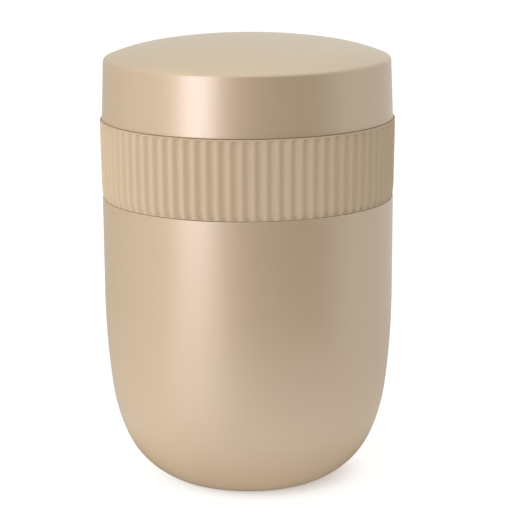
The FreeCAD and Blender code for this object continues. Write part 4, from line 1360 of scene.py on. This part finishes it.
@dataclass(frozen=True)
class Studio:
    """A pale floor with painted light, a white room, soft lamps and the photograph's camera. Sizes are in
    metres.
    """

    target_height: float = 0.0701
    camera_distance: float = 0.6912
    camera_elevation: float = 12.605
    focal_length: float = 143.8
    camera_roll: float = 0.36
    shift: float = 0.02793
    floor_size: float = 12.0
    floor_colour: Colour = (0.88, 0.83, 0.78)
    floor_glow: float = 0.78
    # Painted shadow: a ring round the base, shifted to the right, where the camera's glow gives way to the
    # paper's real shade.
    painted_shadow_depth: float = 0.48
    painted_shadow_edge: Span = (0.022, 0.038)
    painted_shadow_shift: float = 0.0035
    glow_strength: float = 1.10
    # The floor's painted light: a painted reflection of the table for glossy rays, a painted glare of the
    # key lamp, painted contact shade, and a glow that lights the jar from below.
    painted_table_light: float = 0.46
    painted_bounce_share: float = 0.55
    painted_bounce_core: float = 1.85
    painted_bounce_edge: Span = (0.04, 0.15)
    painted_glare_level: float = 0.46
    contact: Span = (0.03, 0.07)
    painted_glare_start: Span = (0.07, 0.14)
    painted_table_edge: Span = (0.13, 0.30)
    painted_glare_cone: Span = (0.87, 1.0)
    glow_colour: Colour = (1.0, 0.998, 0.99)
    left_wall: float = 0.30
    right_wall: float = 0.56
    right_turn: float = 0.80
    right_edge: Span = (0.35, 0.90)
    back_gain: float = 0.22
    back_edge: Span = (0.6, 1.0)
    front_wall: float = 0.42
    front_way: Span = (0.26, 0.97)
    front_edge: Span = (0.5, 0.85)
    mirrored_front: float = 0.08
    ceiling: float = 1.55
    mirrored_ceiling: float = 0.86
    ceiling_edge: Span = (0.35, 0.85)
    ceiling_colour: Colour = (0.96, 1.0, 0.93)
    room_colour: Colour = (1.0, 1.0, 0.995)
    sensor_width: float = 36.0
    clip: Span = (0.01, 50.0)
    lamps: tuple[Softbox, ...] = (
        Softbox("key", -37.0, 0.42, 0.175, (0.19, 0.34), 2.95, (1.0, 0.915, 0.965)),
        Softbox("left_fill", -92.0, 0.90, 0.25, (0.60, 0.60), 3.8, (0.97, 1.04, 0.94), mirrored=False),
    )

    def build(self) -> None:
        """Lay the floor, hang the lamps and set up the camera and the room."""
        self.floor()
        self.room()
        for lamp in self.lamps:
            lamp.hang()
        self.camera()
        bpy.context.scene.view_settings.view_transform = "Standard"

    def floor(self) -> None:
        """Lay a pale floor that shows white to the camera, with the jar's real and painted shadow at the
        base; it glows as painted light and painted reflections.
        """
        material = bpy.data.materials.new("studio_floor")
        material.use_nodes = True
        material.node_tree.nodes.clear()
        graph = Graph(material.node_tree)
        path = graph.add("ShaderNodeLightPath")
        camera = graph.value(path, "Is Camera Ray")
        mirrored = graph.value(path, "Is Glossy Ray")
        right, back, _ = graph.axes(graph.place())
        away = distance(right, back)
        # For glossy rays the floor glows with a painted reflection: a flat tone near the jar that gives way
        # further out to the walls' brightness, dark towards the camera.
        beyond = away.smooth(*self.painted_table_edge)
        walls = self._walls(right / away, back / away, 0.0)
        # A painted glare: the floor is brighter in a patch towards the key lamp, standing in for its
        # reflection in a glossy table.
        bearing = math.radians(self.lamps[0].azimuth)
        toward_key = (right * math.sin(bearing) - back * math.cos(bearing)) / away
        painted_glare = toward_key.smooth(*self.painted_glare_cone) * away.smooth(*self.painted_glare_start) * self.painted_glare_level
        painted_table = beyond * walls + (1.0 - beyond) * self.painted_table_light
        # Painted contact shade: the floor seen in reflections darkens close to the base.
        painted_reflection = (painted_table + painted_glare) * away.smooth(*self.contact)
        other = 1.0 - camera - mirrored
        # Painted light from below: for rays other than camera and glossy ones the floor glows, most
        # strongly close to the jar.
        painted_bounce = (1.0 - away.smooth(*self.painted_bounce_edge)) * self.painted_bounce_core
        strength = camera * self.glow_strength + mirrored * painted_reflection + other * (painted_bounce + 1.0)
        shine = {"Color": (*self.glow_colour, 1.0), "Strength": strength}
        glow = graph.add("ShaderNodeEmission", None, shine)
        # Painted shadow: in a ring round the base, shifted to the right, the camera's glow gives way to the
        # paper, so the paper's real shade shows there and the missing glow darkens it further.
        spread = distance(right - self.painted_shadow_shift, back).smooth(*self.painted_shadow_edge)
        painted_shadow = (1.0 - spread) * self.painted_shadow_depth
        # Glossy rays see only the glow with its painted reflection; other rays get part of it as painted
        # light from below.
        share = camera * (self.floor_glow - painted_shadow) + mirrored + other * self.painted_bounce_share
        paper = graph.add("ShaderNodeBsdfDiffuse", None, {"Color": (*self.floor_colour, 1.0)})
        mixed = graph.add("ShaderNodeMixShader", None, {0: share, 1: paper, 2: glow})
        graph.add("ShaderNodeOutputMaterial", None, {"Surface": mixed})
        half = self.floor_size / 2
        corners = [(-half, -half, 0.0), (half, -half, 0.0), (half, half, 0.0), (-half, half, 0.0)]
        mesh = bpy.data.meshes.new("studio_floor")
        mesh.from_pydata(corners, [], [(0, 1, 2, 3)])
        mesh.materials.append(material)
        piece = bpy.data.objects.new("studio_floor", mesh)
        bpy.context.scene.collection.objects.link(piece)

    def _walls(self, right: Value, back: Value, front: float | Value) -> Value:
        """Return the brightness of the room's walls in a level direction.

        Args:
            right: The direction's part to the camera's right.
            back: Its part away from the camera.
            front: Brightness on the camera's side.

        Returns:
            The brightness: a white wall at the right, greyer ones at the left and behind.
        """
        turn, lead = self.front_way
        white = (right + back * self.right_turn).smooth(*self.right_edge)
        ahead = (right * turn - back * lead).smooth(*self.front_edge)
        sides = white * (self.right_wall - self.left_wall) + self.left_wall
        sides += back.smooth(*self.back_edge) * self.back_gain
        return sides * (1.0 - ahead) + ahead * front

    def room(self) -> None:
        """Make a room that is white to the camera and lights the jar with its walls and ceiling."""
        world = bpy.data.worlds.new("studio_room")
        world.use_nodes = True
        graph = Graph(world.node_tree)
        path = graph.add("ShaderNodeLightPath")
        camera = graph.value(path, "Is Camera Ray")
        mirrored = graph.value(path, "Is Glossy Ray")
        right, back, up = graph.axes(graph.place("Generated"))
        overhead = up.smooth(*self.ceiling_edge)
        ceiling = mirrored * (self.mirrored_ceiling - self.ceiling) + self.ceiling
        front = mirrored * (self.mirrored_front - self.front_wall) + self.front_wall
        inside = overhead * ceiling + (1.0 - overhead) * self._walls(right, back, front)
        colours = {6: (*self.room_colour, 1.0), 7: (*self.ceiling_colour, 1.0)}
        share = overhead * (1.0 - camera)
        tint = graph.add("ShaderNodeMix", {"data_type": "RGBA"}, {"Factor": share, **colours})
        lit = {"Color": tint.outputs[2], "Strength": camera + (1.0 - camera) * inside}
        graph.feed(world.node_tree.nodes["Background"], lit)
        bpy.context.scene.world = world

    def camera(self) -> None:
        """Set up the camera at the photograph's angle."""
        lens = bpy.data.cameras.new("camera")
        lens.sensor_width = self.sensor_width
        lens.lens = self.focal_length
        lens.shift_x = self.shift
        lens.clip_start, lens.clip_end = self.clip
        holder = bpy.data.objects.new("camera", lens)
        angle = math.radians(self.camera_elevation)
        target = Vector((0.0, 0.0, self.target_height))
        away = Vector((0.0, -math.cos(angle), math.sin(angle)))
        holder.location = target + away * self.camera_distance
        roll = Quaternion((0.0, 0.0, 1.0), -math.radians(self.camera_roll))
        holder.rotation_euler = ((-away).to_track_quat("-Z", "Y") @ roll).to_euler()
        bpy.context.scene.collection.objects.link(holder)
        bpy.context.scene.camera = holder


def main() -> None:
    """Build the jar, its lid, its stopper and the studio."""
    logging.basicConfig(level=logging.INFO, format="%(name)s: %(message)s")
    Jar().build()
    Lid().build()
    Stopper().build()
    Vent().build()
    Studio().build()


if __name__ == "__main__":
    main()
